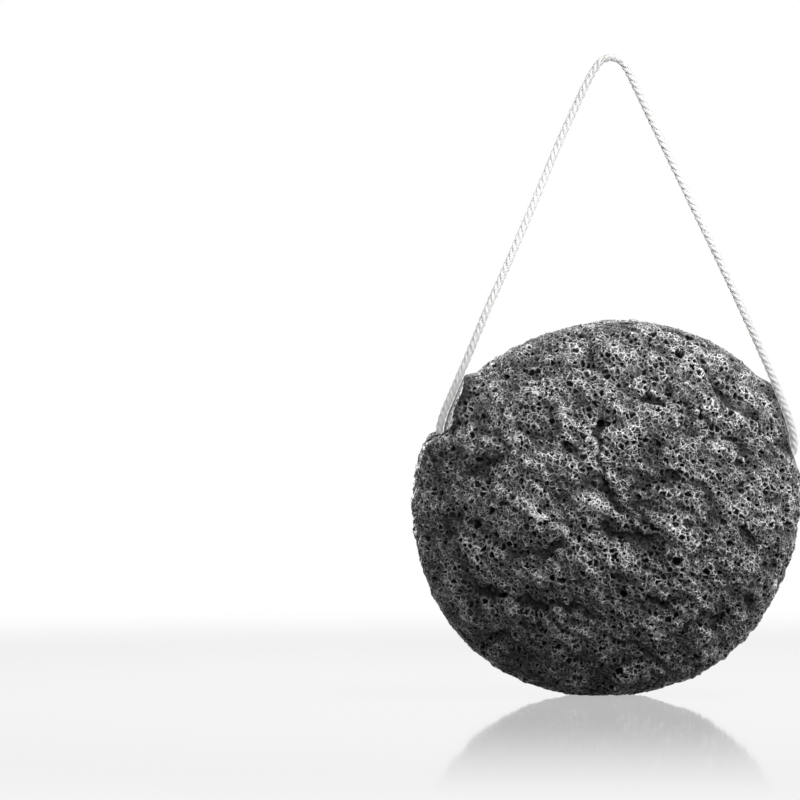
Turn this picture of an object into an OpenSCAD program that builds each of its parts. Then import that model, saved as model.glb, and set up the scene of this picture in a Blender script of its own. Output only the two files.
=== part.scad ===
// Konjac sponge: a half ball of foam that hangs on a loop of twisted cotton cord.
// The origin is the seat where a hook bears, under the top of the loop.
// +Z is up, the dome faces -Y and the flat back face looks along +Y.
// Angles round the foam start at +X and turn towards +Z.

/* [Foam] */
// Mean diameter of the foam across its round outline
foam_d = 79; // [76:1:84]
// Thickness from the flat back face to the top of the dome
foam_t = 38; // [34:1:44]
// Distance of the widest line from the flat back face
widest_t = 16; // [14:0.5:18]
// How far the flat back face stays inside the outline
back_inset = 11; // [8:0.5:14]
// Fullness of the dome's section, where 2 is an ellipse
dome_fullness = 2.2; // [2:0.05:2.6]
// Fullness of the rounded back edge, where 2 is an ellipse
back_fullness = 2.4; // [2:0.05:2.8]

/* [Folds] */
// Mean distance between the folds of the dome
fold_gap = 9; // [8:0.5:12]
// Greatest rise and fall of the folds about the plain dome
fold_rise = 1.4; // [0.4:0.1:1.8]
// Width of the creases in the dome
crease_w = 5.2; // [4.4:0.2:7]
// Depth of the deepest crease
crease_drop = 0.9; // [0.4:0.1:1.4]

/* [Bore] */
// Distance of the bore from the flat back face, level with the foam's centre of mass
bore_t = 16.85; // [15:0.05:18]
// Height of the bore's middle above the middle of the foam
bore_rise = 11; // [9:0.5:13]
// Distance from the middle of the foam to the middle of the bore, along X
bore_shift = 2.5; // [0:0.5:5]
// Width across X of the cord that runs inside the bore
thread_w = 66.5; // [62:0.5:70]
// Drop of the bore from its left end to its right end
thread_drop = 2.8; // [0:0.1:5]
// Radial gap between the cord and the wall of the bore
bore_gap = 0.06; // [0.02:0.01:0.1]

/* [Rim hollows] */
// Depth that the left leg of the loop has pressed into the rim
left_press = 2.6; // [2.2:0.1:3.5]
// Depth that the right leg of the loop has pressed into the rim
right_press = 1.4; // [1.2:0.1:2.5]
// Depth over which the hollows fade out towards the dome
press_fade = 16; // [12:0.5:20]

/* [Cord] */
// Diameter of the twisted cord
cord_d = 1.6; // [1.2:0.1:1.8]
// Drop from the hook's seat to the middle of the bore
loop_drop = 81.4; // [76:0.2:90]
// Distance from the hook's line to the middle of the bore, along X
loop_shift = 1.25; // [0:0.25:4]
// Centreline radius of the bend where a leg turns into the bore
bend_r = 3.4; // [3:0.1:3.8]
// Lean of a leg's slot towards the hook, counted from square across the bore, in degrees
leg_lean = 13; // [8:1:24]
// Clearance round the legs inside their slots
slot_gap = 0.4; // [0.2:0.05:0.5]

/* [Knot] */
// Gap between the strands of the knot, and between the knot and the cord inside it
knot_play = 0.2; // [0.1:0.05:0.4]
// Clearance round the knot in its room in the foam
knot_gap = 0.3; // [0.2:0.05:0.6]

/* [Swing] */
// Swing of the foam to each side of rest, in degrees
swing = 60; // [30:5:60]

/* [Hidden] */
$fn = 48;

foam_colour = [0.21, 0.21, 0.22];
cord_colour = [0.93, 0.92, 0.9];

// Waves of the outline: count round it, height as a share of the radius, and turn in degrees
outline_shares = [[1, 0.015, 10], [2, 0.026, 50], [3, 0.011, 130], [4, 0.007, 195], [5, 0.005, 100]];
// Lumps of the dome: place along X and Z, spread and height, all as shares of the foam's radius
lump_shares = [
  [-0.42, 0.38, 0.30, 0.022], [0.36, 0.46, 0.28, 0.026], [0.02, 0.05, 0.22, -0.024],
  [-0.30, -0.38, 0.32, 0.018], [0.46, -0.30, 0.26, 0.022], [0.10, -0.62, 0.24, -0.016]
];

// Waves that make the folds: direction in degrees, length as a share of the mean distance between folds,
// height as a share of the greatest rise, and turn in degrees
fold_shares = [
  [64, 1.04, 0.19, 20], [41, 0.9, 0.17, 200], [86, 1.22, 0.18, 310], [119, 0.97, 0.14, 75],
  [9, 1.1, 0.13, 150], [152, 0.91, 0.09, 260], [55, 1.6, 0.1, 120]
];
// Creases of the dome: depth as a share of the deepest one's, and places along X and Z from the middle,
// as shares of the foam's radius
crease_shares = [
  [1, [[-0.04, 0.5], [-0.05, 0.38], [-0.04, 0.22], [0.01, 0.07], [0.08, -0.02], [0.12, -0.01]]],
  [0.9, [[-0.74, -0.42], [-0.51, -0.44], [-0.38, -0.49], [-0.16, -0.49], [-0.05, -0.57]]],
  [0.8, [[-0.47, -0.22], [-0.32, -0.22], [-0.21, -0.13]]],
  [0.7, [[0.35, -0.65], [0.43, -0.58], [0.54, -0.6], [0.62, -0.57]]],
  [0.7, [[0.12, 0.59], [0.3, 0.56], [0.33, 0.75]]],
  [0.75, [[0.5, 0.77], [0.58, 0.59], [0.71, 0.51], [0.87, 0.5]]],
  [0.75, [[0.34, 0.39], [0.67, 0.37], [0.73, 0.23]]],
  [0.75, [[-0.15, -0.08], [0.01, -0.1], [0.15, -0.15], [0.24, -0.15]]],
  [0.6, [[0.2, 0.21], [0.4, 0.16], [0.51, 0.1]]],
  [0.6, [[-0.74, 0.18], [-0.62, 0.25], [-0.53, 0.29]]]
];

// Angles of the foam's mesh near the rim, finer where the legs have pressed into it
rim_angles = concat(
  [0, 5, 9, 12, 14, 16, 18, 21, 25, 30, 36],
  [for (a = [43:7:127]) a],
  [134, 140, 145, 148, 150.5, 152.5, 154, 155.5, 157, 160, 165],
  [for (a = [172:7:354]) a]
);
back_rings = 4;
dome_rings = 17;
// Distance between the points of the rings on the dome, as a share of the distance between folds
ring_step_share = 0.34;
// Section angle from which the rings have evenly spaced points
even_from_f = 20;
// Draws the dome's rings together towards the rim, so that they lie evenly along the section
ring_even_share = 1.3;
// Angles where the left leg's hollow starts, has its floor from and to, and ends
left_press_at = [137, 151.5, 153.5, 157];
// The same for the right leg, counted from -X, so that one function serves both
right_press_at = [148, 161.5, 164, 167.5];
// Where the fade of a hollow starts in front of the bore, as a share of its depth
fade_start_share = 0.25;
// Section angles at which the lumps and the folds have their full height
lump_full_f = 45;
fold_full_f = 30;
// Angle that a leg's slot leaves free beyond the swing on each side
slot_spare = 30;
// Least length of a leg's slot past the bend, as a share of the bend's radius
slot_run_share = 2;
// Radius of the pocket round each end of the bore, as a share of the slot's
pocket_share = 2;
// Steps of the round underside of a slot
under_steps = 4;
arc_step = 15;
overrun = 1;

foam_r = foam_d / 2;
dome_t = foam_t - widest_t;
cord_r = cord_d / 2;
bore_r = cord_r + bore_gap;
slot_r = cord_r + slot_gap;
bore_mid = [loop_shift, 0, -loop_drop];
left_end = bore_mid + [-thread_w, 0, thread_drop] / 2;
right_end = bore_mid + [thread_w, 0, -thread_drop] / 2;
bore_l = norm(right_end - left_end);
bore_tilt = atan2(thread_drop, thread_w);
leg_turn = 90 + leg_lean;
foam_mid = bore_mid - [bore_shift, 0, bore_rise];

// The loop's route, from the left end of the bore over the hook to its right end
route = [
  [-32, 0, -80], [-33.3, 0, -79.7], [-34.4, 0, -79], [-35.1, 0, -77.9], [-35.4, 0, -76.6],
  [-35.2, 0, -75], [-34.4, 0, -72.4], [-33.2, 0, -69.6], [-32, 0, -66.8], [-29, 0, -59.8],
  [-25.4, 0, -51], [-21.8, 0, -43], [-16.1, 0, -29.8], [-10.5, 0, -16.4], [-7, 0, -8.8],
  [-4.4, 0, -3.4], [-3.1, 0, -1.2], [-1.9, 0, 0.2], [0, 0, 0.8], [1.9, 0, 0.2],
  [3.1, 0, -1.2], [4.3, 0, -3.4], [8.4, 0, -12], [14.2, 0, -24], [20, 0, -36],
  [25.8, 0, -48.2], [31.6, 0, -61], [34.2, 0, -67], [35.8, 0, -71], [36.9, 0, -74],
  [37.6, 0, -76.6], [37.9, 0, -79.4], [37.6, 0, -80.8], [36.9, 0, -81.9], [35.8, 0, -82.6],
  [34.5, 0, -82.8]
];
// Distance between the rings of a long stretch, as a share of the cord's diameter
ring_gap_share = 2.5;
tube_sides = 8;

// The knot: its strand winds about a ring while it goes round the cord
knot_winds = 3;
knot_rounds = 2;
knot_rings = 54;
knot_wind_r = cord_r + knot_play / 2;
knot_ring_r = cord_d + knot_play + knot_wind_r;
knot_room_r = knot_ring_r + knot_wind_r + cord_r + knot_gap;
knot_room_h = knot_wind_r + cord_r + knot_gap;

// Rises smoothly from 0 to 1 as v does
function smooth(v) = let (u = min(1, max(0, v))) u * u * (3 - 2 * u);

function total(list, i = 0) = i < len(list) ? list[i] + total(list, i + 1) : 0;

// Share of a hollow's depth at one angle: it deepens slowly and ends in a short step
function press_share(a, at) =
  smooth((a - at[0]) / (at[1] - at[0])) * (1 - smooth((a - at[2]) / (at[3] - at[2])));

// Share of both hollows at angle a
function pressed_share(a) = press_share(a, left_press_at) + press_share(180 - a, right_press_at);

// Depth pressed into the rim at angle a and distance t from the back face
function press(a, t) =
  (left_press * press_share(a, left_press_at) + right_press * press_share(180 - a, right_press_at))
  * (1 - smooth((t - bore_t) / press_fade - fade_start_share));

function outline_r(a) =
  foam_r * (1 + total([for (w = outline_shares) w[1] * cos(w[0] * a - w[2])]));

// Height of the lumps above the plain dome at a spot, given along X and Z from the foam's middle
function lump_h(spot) =
  foam_r * total([for (l = lump_shares)
    let (away = spot / foam_r - [l[0], l[1]]) l[3] * exp(-away * away / pow(l[2], 2))]);

// Distance of a spot from the stretch between two others
function to_stretch(spot, start, end) =
  let (way = end - start, along = min(1, max(0, (spot - start) * way / (way * way))))
  norm(spot - start - along * way);

function to_crease(spot, path) =
  min([for (i = [0:len(path) - 2]) to_stretch(spot, path[i], path[i + 1])]);

// Height of the folds above the plain dome at a spot, less the depth of the nearest crease
function fold_h(spot) =
  fold_rise * total([for (w = fold_shares)
    w[2] * cos(360 * (spot * [cos(w[0]), sin(w[0])]) / (w[1] * fold_gap) - w[3])])
  - crease_drop * max([for (c = crease_shares)
    c[0] * exp(-pow(to_crease(spot, foam_r * c[1]) / (crease_w / 2), 2))]);

// Distance from the back face at section angle f: -90 is the back face, 0 the widest line, 90 the pole
function section_t(f) =
  f < 0
  ? widest_t * (1 - pow(-sin(f), 2 / back_fullness))
  : widest_t + dome_t * pow(sin(f), 2 / dome_fullness);

// Radius of the foam at angle a and section angle f
function section_r(a, f) =
  let (full_r = outline_r(a) - press(a, section_t(f)))
  f < 0
  ? full_r - back_inset * (1 - pow(cos(f), 2 / back_fullness))
  : full_r * pow(cos(f), 2 / dome_fullness);

// The lumps rise towards -Y and the folds rise square to a ball. Both fade out at the rim, and the folds
// at the hollows too.
function foam_point(a, f) =
  let (
    spot = section_r(a, f) * [cos(a), sin(a)],
    lift = lump_h(spot) * smooth(f / lump_full_f),
    fold = fold_h(spot) * smooth(f / fold_full_f) * (1 - pressed_share(a)),
    out = [cos(f) * cos(a), -sin(f), cos(f) * sin(a)]
  )
  foam_mid + [spot[0], bore_t - section_t(f) - lift, spot[1]] + fold * out;

// Angles of the points on the ring at section angle f
function ring_angles(f) =
  f < even_from_f
  ? rim_angles
  : let (count = round(2 * PI * foam_r * pow(cos(f), 2 / dome_fullness) / (ring_step_share * fold_gap)))
    [for (i = [0:count - 1]) 360 * i / count];

// Angles halfway between the points of a ring
function half_angles(angles) =
  [for (i = [0:len(angles) - 1]) (angles[i] + (i + 1 < len(angles) ? angles[i + 1] : 360)) / 2];

// Faces between two rings, whose first points are number p and number q
function band_faces(angles, next_angles, p, q) =
  let (
    n = len(angles),
    m = len(next_angles),
    halves = half_angles(angles),
    next_halves = half_angles(next_angles)
  )
  concat(
    [for (i = [0:n - 1])
      [p + i, q + len([for (h = next_halves) if (h < halves[i]) h]) % m, p + (i + 1) % n]],
    [for (k = [0:m - 1])
      [p + len([for (h = halves) if (h <= next_halves[k]) h]) % n, q + k, q + (k + 1) % m]]
  );

// The foam before it is cut: it runs past the back face, where one plane cuts it flat
module foam_blank() {
  levels = concat(
    [for (j = [0:back_rings - 1]) 90 * j / back_rings - 90],
    [for (j = [0:dome_rings - 1]) 90 * (1 - pow(1 - j / dome_rings, ring_even_share))]
  );
  behind = [0, overrun, 0];
  angles = concat([rim_angles], [for (f = levels) ring_angles(f)]);
  last = len(angles) - 1;
  // Number of the first point of each ring, and of the two points in the middle of the ends
  first = [for (j = 0, n = 0; j <= last + 1; n = n + (j <= last ? len(angles[j]) : 0), j = j + 1) n];
  end = first[last + 1];
  points = concat(
    [for (a = rim_angles) foam_point(a, -90) + behind],
    [for (j = [1:last]) each [for (a = angles[j]) foam_point(a, levels[j - 1])]],
    [foam_mid + [0, bore_t, 0] + behind, foam_point(0, 90)]
  );
  top = len(angles[last]);
  faces = concat(
    [for (i = [0:len(rim_angles) - 1]) [i, (i + 1) % len(rim_angles), end]],
    [for (j = [0:last - 1]) each band_faces(angles[j], angles[j + 1], first[j], first[j + 1])],
    [for (i = [0:top - 1]) [first[last] + (i + 1) % top, first[last] + i, end + 1]]
  );
  polyhedron(points, faces);
}

module behind_back_face() {
  translate(foam_mid + [-foam_d, bore_t, -foam_d]) cube([2 * foam_d, foam_t, 2 * foam_d]);
}

// Lays what is drawn up from the origin along the bore, out of its left end (side -1) or right end (1).
// What is drawn along +X then points up.
module out_of_end(side) {
  translate(side < 0 ? left_end : right_end)
    rotate([0, side * 90 + bore_tilt, 0]) rotate([0, 0, side < 0 ? 0 : 180]) children();
}

module bore() {
  out_of_end(-1) translate([0, 0, -bore_l - bend_r]) cylinder(r = bore_r, h = bore_l + 2 * bend_r);
}

// Point of the leg's centreline, offset by d away from the bend's centre, after a turn of f degrees
function bend_point(f, d) = [bend_r - (bend_r + d) * cos(f), (bend_r + d) * sin(f)];

// Length of a leg from its bend to where it leaves the hollow in the foam's round outline
function way_out(side) =
  let (
    rim_r = foam_r - (side < 0 ? left_press : right_press),
    from_mid = bend_point(leg_turn, 0) + [bore_rise, bore_l / 2 + side * bore_shift],
    level = from_mid * [sin(leg_turn), cos(leg_turn)]
  )
  sqrt(max(0, rim_r * rim_r + level * level - from_mid * from_mid)) - level;

// Section of the slot for a leg: radius from the bore's axis, and distance out of the bore's end
module slot_section(side) {
  ahead = max(slot_run_share * bend_r, way_out(side)) * [sin(leg_turn), cos(leg_turn)];
  under = acos(bend_r / (bend_r + slot_r));
  polygon(concat(
    [[0, 0], [slot_r, 0]],
    [for (f = [arc_step:arc_step:leg_turn]) bend_point(f, -slot_r)],
    [bend_point(leg_turn, -slot_r) + ahead, bend_point(leg_turn, slot_r) + ahead],
    [for (k = [0:under_steps]) bend_point(leg_turn + (under - leg_turn) * k / under_steps, slot_r)]
  ));
}

// The slot that a leg swings in, with a small round pocket where it turns into the bore
module leg_slot(side) {
  half_angle = swing + slot_spare;
  out_of_end(side) {
    rotate([0, 0, -half_angle]) rotate_extrude(angle = 2 * half_angle) slot_section(side);
    rotate_extrude() intersection() {
      slot_section(side);
      square([pocket_share * slot_r, bend_r]);
    }
  }
}

module knot_room() {
  out_of_end(-1) translate([0, 0, -bore_l / 2 - knot_room_h])
    cylinder(r = knot_room_r, h = 2 * knot_room_h);
}

module sponge_body() {
  color(foam_colour) difference() {
    foam_blank();
    behind_back_face();
    bore();
    leg_slot(-1);
    leg_slot(1);
    knot_room();
  }
}

// Points of the route with long stretches split, about one ring gap apart
function split_route() = concat(
  [for (i = [0:len(route) - 2])
    let (parts = max(1, round(norm(route[i + 1] - route[i]) / (ring_gap_share * cord_d))))
    each [for (k = [0:parts - 1]) route[i] + (route[i + 1] - route[i]) * k / parts]],
  [route[len(route) - 1]]
);

function unit(v) = v / norm(v);

// Faces between the rings of a tube, with s points each; a closed tube joins its last ring to its first
function wall_faces(rings, s, closed) =
  [for (j = [0:rings - (closed ? 1 : 2)], k = [0:s - 1])
    each let (
      p = j * s + k, q = j * s + (k + 1) % s,
      u = (j + 1) % rings * s + k, v = (j + 1) % rings * s + (k + 1) % s
    ) [[p, q, u], [q, v, u]]];

function end_faces(rings, s) =
  [for (k = [1:s - 2]) each [[0, k + 1, k], (rings - 1) * s * [1, 1, 1] + [0, k, k + 1]]];

module hanging_loop() {
  path = split_route();
  last = len(path) - 1;
  bore_dir = unit(right_end - left_end);
  heading = concat(
    [-bore_dir],
    [for (i = [1:last - 1]) unit(unit(path[i] - path[i - 1]) + unit(path[i + 1] - path[i]))],
    [-bore_dir]
  );
  points = [for (i = [0:last]) each let (across = cross(heading[i], [0, 1, 0]))
    [for (k = [0:tube_sides - 1])
      let (a = 360 * k / tube_sides) path[i] + cord_r * (cos(a) * across + [0, sin(a), 0])]];
  color(cord_colour)
    polyhedron(points, concat(wall_faces(last + 1, tube_sides, false), end_faces(last + 1, tube_sides)));
}

module threaded_cord() {
  color(cord_colour) out_of_end(-1) translate([0, 0, -bore_l]) cylinder(r = cord_r, h = bore_l);
}

module cord_knot() {
  points = [for (i = [0:knot_rings - 1]) each
    let (
      round_a = knot_rounds * 360 * i / knot_rings,
      wind_a = knot_winds * 360 * i / knot_rings,
      out = [cos(round_a), sin(round_a), 0],
      along_ring = [-sin(round_a), cos(round_a), 0],
      from_ring = cos(wind_a) * out + [0, 0, sin(wind_a)],
      middle = knot_ring_r * out + knot_wind_r * from_ring,
      ahead = knot_rounds * (knot_ring_r + knot_wind_r * cos(wind_a)) * along_ring
        + knot_winds * knot_wind_r * (-sin(wind_a) * out + [0, 0, cos(wind_a)]),
      side = unit(cross(from_ring, ahead))
    )
    [for (k = [0:tube_sides - 1])
      let (a = 360 * k / tube_sides) middle + cord_r * (cos(a) * from_ring + sin(a) * side)]];
  color(cord_colour) out_of_end(-1) translate([0, 0, -bore_l / 2])
    polyhedron(points, wall_faces(knot_rings, tube_sides, true));
}

sponge_body();
hanging_loop();
threaded_cord();
cord_knot();
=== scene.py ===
"""Dresses a konjac sponge: a half ball of dark open-cell foam that hangs on a loop of twisted cotton cord.

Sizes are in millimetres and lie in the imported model's frame: the origin is the seat of a hook under the top
of the loop, +Z is up, the dome faces -Y and the flat back looks along +Y. MM turns them into metres.
"""

import logging
import math
from collections.abc import Callable, Mapping, Sequence
from dataclasses import dataclass, field
from enum import Enum

import bmesh
import bpy
import numpy as np
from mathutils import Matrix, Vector


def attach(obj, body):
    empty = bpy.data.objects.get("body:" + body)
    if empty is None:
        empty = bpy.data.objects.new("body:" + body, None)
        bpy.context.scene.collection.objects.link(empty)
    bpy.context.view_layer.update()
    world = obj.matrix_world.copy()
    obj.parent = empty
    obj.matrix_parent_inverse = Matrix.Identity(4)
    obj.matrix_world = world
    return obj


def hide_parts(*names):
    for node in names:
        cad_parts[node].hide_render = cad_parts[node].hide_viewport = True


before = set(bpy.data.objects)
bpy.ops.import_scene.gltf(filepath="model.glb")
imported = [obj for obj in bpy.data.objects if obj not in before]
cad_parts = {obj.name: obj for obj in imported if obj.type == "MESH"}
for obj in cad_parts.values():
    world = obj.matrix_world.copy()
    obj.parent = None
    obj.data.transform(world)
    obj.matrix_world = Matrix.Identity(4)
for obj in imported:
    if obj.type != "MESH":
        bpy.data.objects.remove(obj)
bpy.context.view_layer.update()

MM = 0.001
PER_MM = 1 / MM
FULL_TURN = 2 * math.pi
SHARP = 0.01  # width of a step that is to look sharp
TINY = 1e-6  # stands in for a length of nothing
LOG = logging.getLogger("konjac_sponge")

Point = tuple[float, float, float]
Spot = tuple[float, float]
Four = tuple[float, float, float, float]
WHITE: Point = (1.0, 1.0, 1.0)
Value = "Wire | float | int | bool | str | Sequence[float] | bpy.types.ID"


class Feature(Enum):
    """What a Voronoi texture measures."""

    NEAREST = "F1"
    EDGE = "DISTANCE_TO_EDGE"


def by_node(operation: str, swapped: bool = False) -> Callable[..., "Wire"]:
    """Makes a method of Wire that adds the Math or Vector Math node of an operation.

    Args:
        operation: Name of the operation, as Blender has it.
        swapped: Whether the wire comes after the other value, as in 1.0 - wire.

    Returns:
        The method, which takes the other values and returns the node's result.
    """

    def method(wire: "Wire", *others: "Value") -> "Wire":
        """Adds the node. Beside a vector, a plain number stands for a vector of three.

        Args:
            wire: The wire that the method is called on.
            others: The other values.

        Returns:
            The node's result.
        """
        values = (*others, wire) if swapped else (wire, *others)
        vector = any(isinstance(v, Wire) and v.is_vector for v in values)
        if vector:
            values = tuple((v,) * 3 if isinstance(v, (int, float)) else v for v in values)
        kind = "ShaderNodeVectorMath" if vector else "ShaderNodeMath"
        return wire.tree.add(kind, dict(enumerate(values)), operation=operation)[0]

    return method


class Wire:
    """The output of a node. Python's operators on it, and methods such as sine, add nodes."""

    def __init__(self, tree: "Tree", socket: bpy.types.NodeSocket) -> None:
        """Wraps a socket of a tree."""
        self.tree = tree
        self.socket = socket

    @property
    def is_vector(self) -> bool:
        """Whether the socket carries a vector or a colour."""
        return self.socket.type in ("VECTOR", "RGBA", "ROTATION")

    __add__ = by_node("ADD")
    __radd__ = by_node("ADD", swapped=True)
    __sub__ = by_node("SUBTRACT")
    __rsub__ = by_node("SUBTRACT", swapped=True)
    __mul__ = by_node("MULTIPLY")
    __rmul__ = by_node("MULTIPLY", swapped=True)
    __truediv__ = by_node("DIVIDE")
    lower = by_node("MINIMUM")
    higher = by_node("MAXIMUM")
    above = by_node("GREATER_THAN")
    absolute = by_node("ABSOLUTE")
    sine = by_node("SINE")
    cosine = by_node("COSINE")
    arctan2 = by_node("ARCTAN2")
    dot = by_node("DOT_PRODUCT")
    cross = by_node("CROSS_PRODUCT")
    length = by_node("LENGTH")

    def step(self, start: float, end: float) -> "Wire":
        """Rises smoothly from 0 at start to 1 at end, or falls from 1 to 0 if end is the lower.

        Args:
            start: Value up to which nothing changes.
            end: Value from which nothing changes.

        Returns:
            The result, from 0 to 1.
        """
        low, high = min(start, end), max(start, end)
        inputs = {"Value": self, "From Min": low, "From Max": high, "To Min": 0.0, "To Max": 1.0}
        risen = self.tree.add("ShaderNodeMapRange", inputs, interpolation_type="SMOOTHSTEP")["Result"]
        return risen if start < end else 1.0 - risen

    def parts(self) -> list["Wire"]:
        """The three numbers of a vector or colour."""
        found = self.tree.add("ShaderNodeSeparateXYZ", {"Vector": self})
        return [found["X"], found["Y"], found["Z"]]

    def spread(self) -> "Wire":
        """This number as a vector of three."""
        return self.tree.add("ShaderNodeCombineXYZ", {"X": self, "Y": self, "Z": self})["Vector"]


class Outputs:
    """The outputs of one node, by name or by number."""

    def __init__(self, tree: "Tree", node: bpy.types.Node) -> None:
        """Wraps a node of a tree."""
        self.tree = tree
        self.node = node

    def __getitem__(self, key: str | int) -> Wire:
        """The output of that name or number, leaving out those that the node's settings hide.

        Args:
            key: The output's name or number.

        Returns:
            The output.
        """
        shown = [s for s in self.node.outputs if s.enabled]
        found = shown[key] if isinstance(key, int) else next(s for s in shown if s.name == key)
        return Wire(self.tree, found)


class Tree:
    """Adds nodes to a shader tree or a geometry tree."""

    def __init__(self, nodes: bpy.types.NodeTree) -> None:
        """Wraps a node tree."""
        self.nodes = nodes

    def add(self, kind: str, inputs: Mapping[str | int, Value] | None = None, **settings: object) -> Outputs:
        """Adds one node.

        Args:
            kind: Blender's name of the node's type.
            inputs: Values or wires for the inputs, by name or by number.
            settings: The node's own settings, which are set first.

        Returns:
            The node's outputs.
        """
        node = self.nodes.nodes.new(kind)
        for name, value in settings.items():
            setattr(node, name, value)
        shown = [s for s in node.inputs if s.enabled]
        for key, value in (inputs or {}).items():
            socket = shown[key] if isinstance(key, int) else next(s for s in shown if s.name == key)
            self._plug(socket, value)
        return Outputs(self, node)

    def _plug(self, socket: bpy.types.NodeSocket, value: "Value") -> None:
        """Links a wire, or several to a socket that joins them, or sets a plain value.

        Args:
            socket: The input.
            value: What goes into it.
        """
        if isinstance(value, Wire):
            self.nodes.links.new(value.socket, socket)
        elif isinstance(value, (list, tuple)) and value and isinstance(value[0], Wire):
            for wire in value:
                self.nodes.links.new(wire.socket, socket)
        elif socket.type == "RGBA" and isinstance(value, (list, tuple)) and len(value) == 3:
            socket.default_value = (*value, 1.0)
        else:
            socket.default_value = value

    def noise(self, place: Wire, size: float, detail: float = 2.0, roughness: float = 0.5) -> Outputs:
        """Noise whose lumps are about size apart in the units of place."""
        inputs = {"Vector": place, "Scale": 1 / size, "Detail": detail, "Roughness": roughness}
        return self.add("ShaderNodeTexNoise", inputs)

    def cells(self, place: Wire, size: float, feature: Feature) -> Outputs:
        """Voronoi cells that are about size apart in the units of place."""
        return self.add("ShaderNodeTexVoronoi", {"Vector": place, "Scale": 1 / size}, feature=feature.value)

    def blend(self, factor: "Value", first: "Value", second: "Value") -> Wire:
        """A colour between two, from the first at factor 0 to the second at 1."""
        inputs = {"Factor": factor, "A": first, "B": second}
        return self.add("ShaderNodeMix", inputs, data_type="RGBA")["Result"]

    def mixed(self, factor: "Value", first: Wire, second: Wire) -> Wire:
        """A shader between two, from the first at factor 0 to the second at 1."""
        return self.add("ShaderNodeMixShader", {0: factor, 1: first, 2: second})["Shader"]

    def glow(self, strength: float) -> Wire:
        """A shader that glows white."""
        return self.add("ShaderNodeEmission", {"Color": WHITE, "Strength": strength})["Emission"]

    def attribute(self, name: str) -> Outputs:
        """What a mesh keeps under a name, in a shader tree."""
        return self.add("ShaderNodeAttribute", attribute_name=name)

    def surface(self, inputs: Mapping[str, Value], bump: float, depth: float, relief: Wire) -> None:
        """Ends a material's tree with a bumped principled shader.

        Args:
            inputs: The shader's inputs, by name.
            bump: Strength of the bump.
            depth: Height of the bump at a relief of 1, in millimetres.
            relief: The relief.
        """
        bumped = self.add("ShaderNodeBump", {"Strength": bump, "Distance": depth * MM, "Height": relief})
        shader = self.add("ShaderNodeBsdfPrincipled", {**inputs, "Normal": bumped["Normal"]})
        self.add("ShaderNodeOutputMaterial", {"Surface": shader["BSDF"]})

    def named(self, name: str, kind: str) -> Wire:
        """What a mesh keeps under a name, as data of a kind, in a geometry tree."""
        return self.add("GeometryNodeInputNamedAttribute", {"Name": name}, data_type=kind)["Attribute"]

    def stored(self, geometry: Wire, name: str, value: Wire) -> Wire:
        """The geometry, which now keeps a value for each point under a name.

        Args:
            geometry: The geometry.
            name: The name.
            value: A number or a vector.

        Returns:
            The same geometry, with the value.
        """
        inputs = {"Geometry": geometry, "Name": name, "Value": value}
        kind = "FLOAT_VECTOR" if value.is_vector else "FLOAT"
        return self.add("GeometryNodeStoreNamedAttribute", inputs, data_type=kind, domain="POINT")["Geometry"]

    def moved(self, geometry: Wire, offset: Wire) -> Wire:
        """The geometry with its points moved by an offset."""
        return self.add("GeometryNodeSetPosition", {"Geometry": geometry, "Offset": offset})["Geometry"]

    def drawn(self, line: Wire, profile: Wire) -> Wire:
        """A closed tube along a line."""
        inputs = {"Curve": line, "Profile Curve": profile, "Fill Caps": True}
        return self.add("GeometryNodeCurveToMesh", inputs)["Mesh"]

    def ring(self, sides: "Value", radius: "Value") -> Wire:
        """A circle, as a tube's profile."""
        return self.add("GeometryNodeCurvePrimitiveCircle", {"Resolution": sides, "Radius": radius})["Curve"]

    def plain(self, geometry: Wire, material: bpy.types.Material) -> Wire:
        """The geometry as one plain mesh of a material."""
        whole = self.add("GeometryNodeRealizeInstances", {"Geometry": geometry})["Geometry"]
        return self.add("GeometryNodeSetMaterial", {"Geometry": whole, "Material": material})["Geometry"]


def emptied(holder: bpy.types.Material | bpy.types.World) -> Tree:
    """Clears the nodes of a material or a world, and wraps its tree.

    Args:
        holder: The material or the world.

    Returns:
        Its tree, with no nodes.
    """
    holder.use_nodes = True
    holder.node_tree.nodes.clear()
    return Tree(holder.node_tree)


@dataclass(frozen=True)
class PoreLayer:
    """Pores of one size in the foam.

    spacing is the distance between their middles. small and large bound their radii and rim is how
    softly they start, as shares of the spacing, as is the width of the lip round them. kept is the share
    of the cells that hold one.
    """

    spacing: float
    small: float
    large: float
    rim: float
    depth: float
    kept: float = 1.0
    lip: float = 0.14
    offset: Point = (0.0, 0.0, 0.0)

    def hollow(self, tree: Tree, place: Wire) -> tuple[Wire, Wire]:
        """How far a place lies inside a pore, and on its lip.

        Args:
            tree: The tree that gets the nodes.
            place: The place on the bare form, in millimetres.

        Returns:
            The share of the pore's depth, from 0 on the surface to 1 at the bottom, and 1 on the pore's lip.
        """
        cell = tree.cells(place + self.offset, self.spacing, Feature.NEAREST)
        chance, size, _ = cell["Color"].parts()
        past = cell["Distance"] - (size * (self.large - self.small) + self.small)
        kept = chance.step(self.kept, self.kept - SHARP) if self.kept < 1 else 1.0
        inside = past.step(self.rim, -self.rim) * kept
        lip = past.step(self.rim + self.lip, self.rim) * kept * (1.0 - inside)
        return inside, lip


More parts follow.
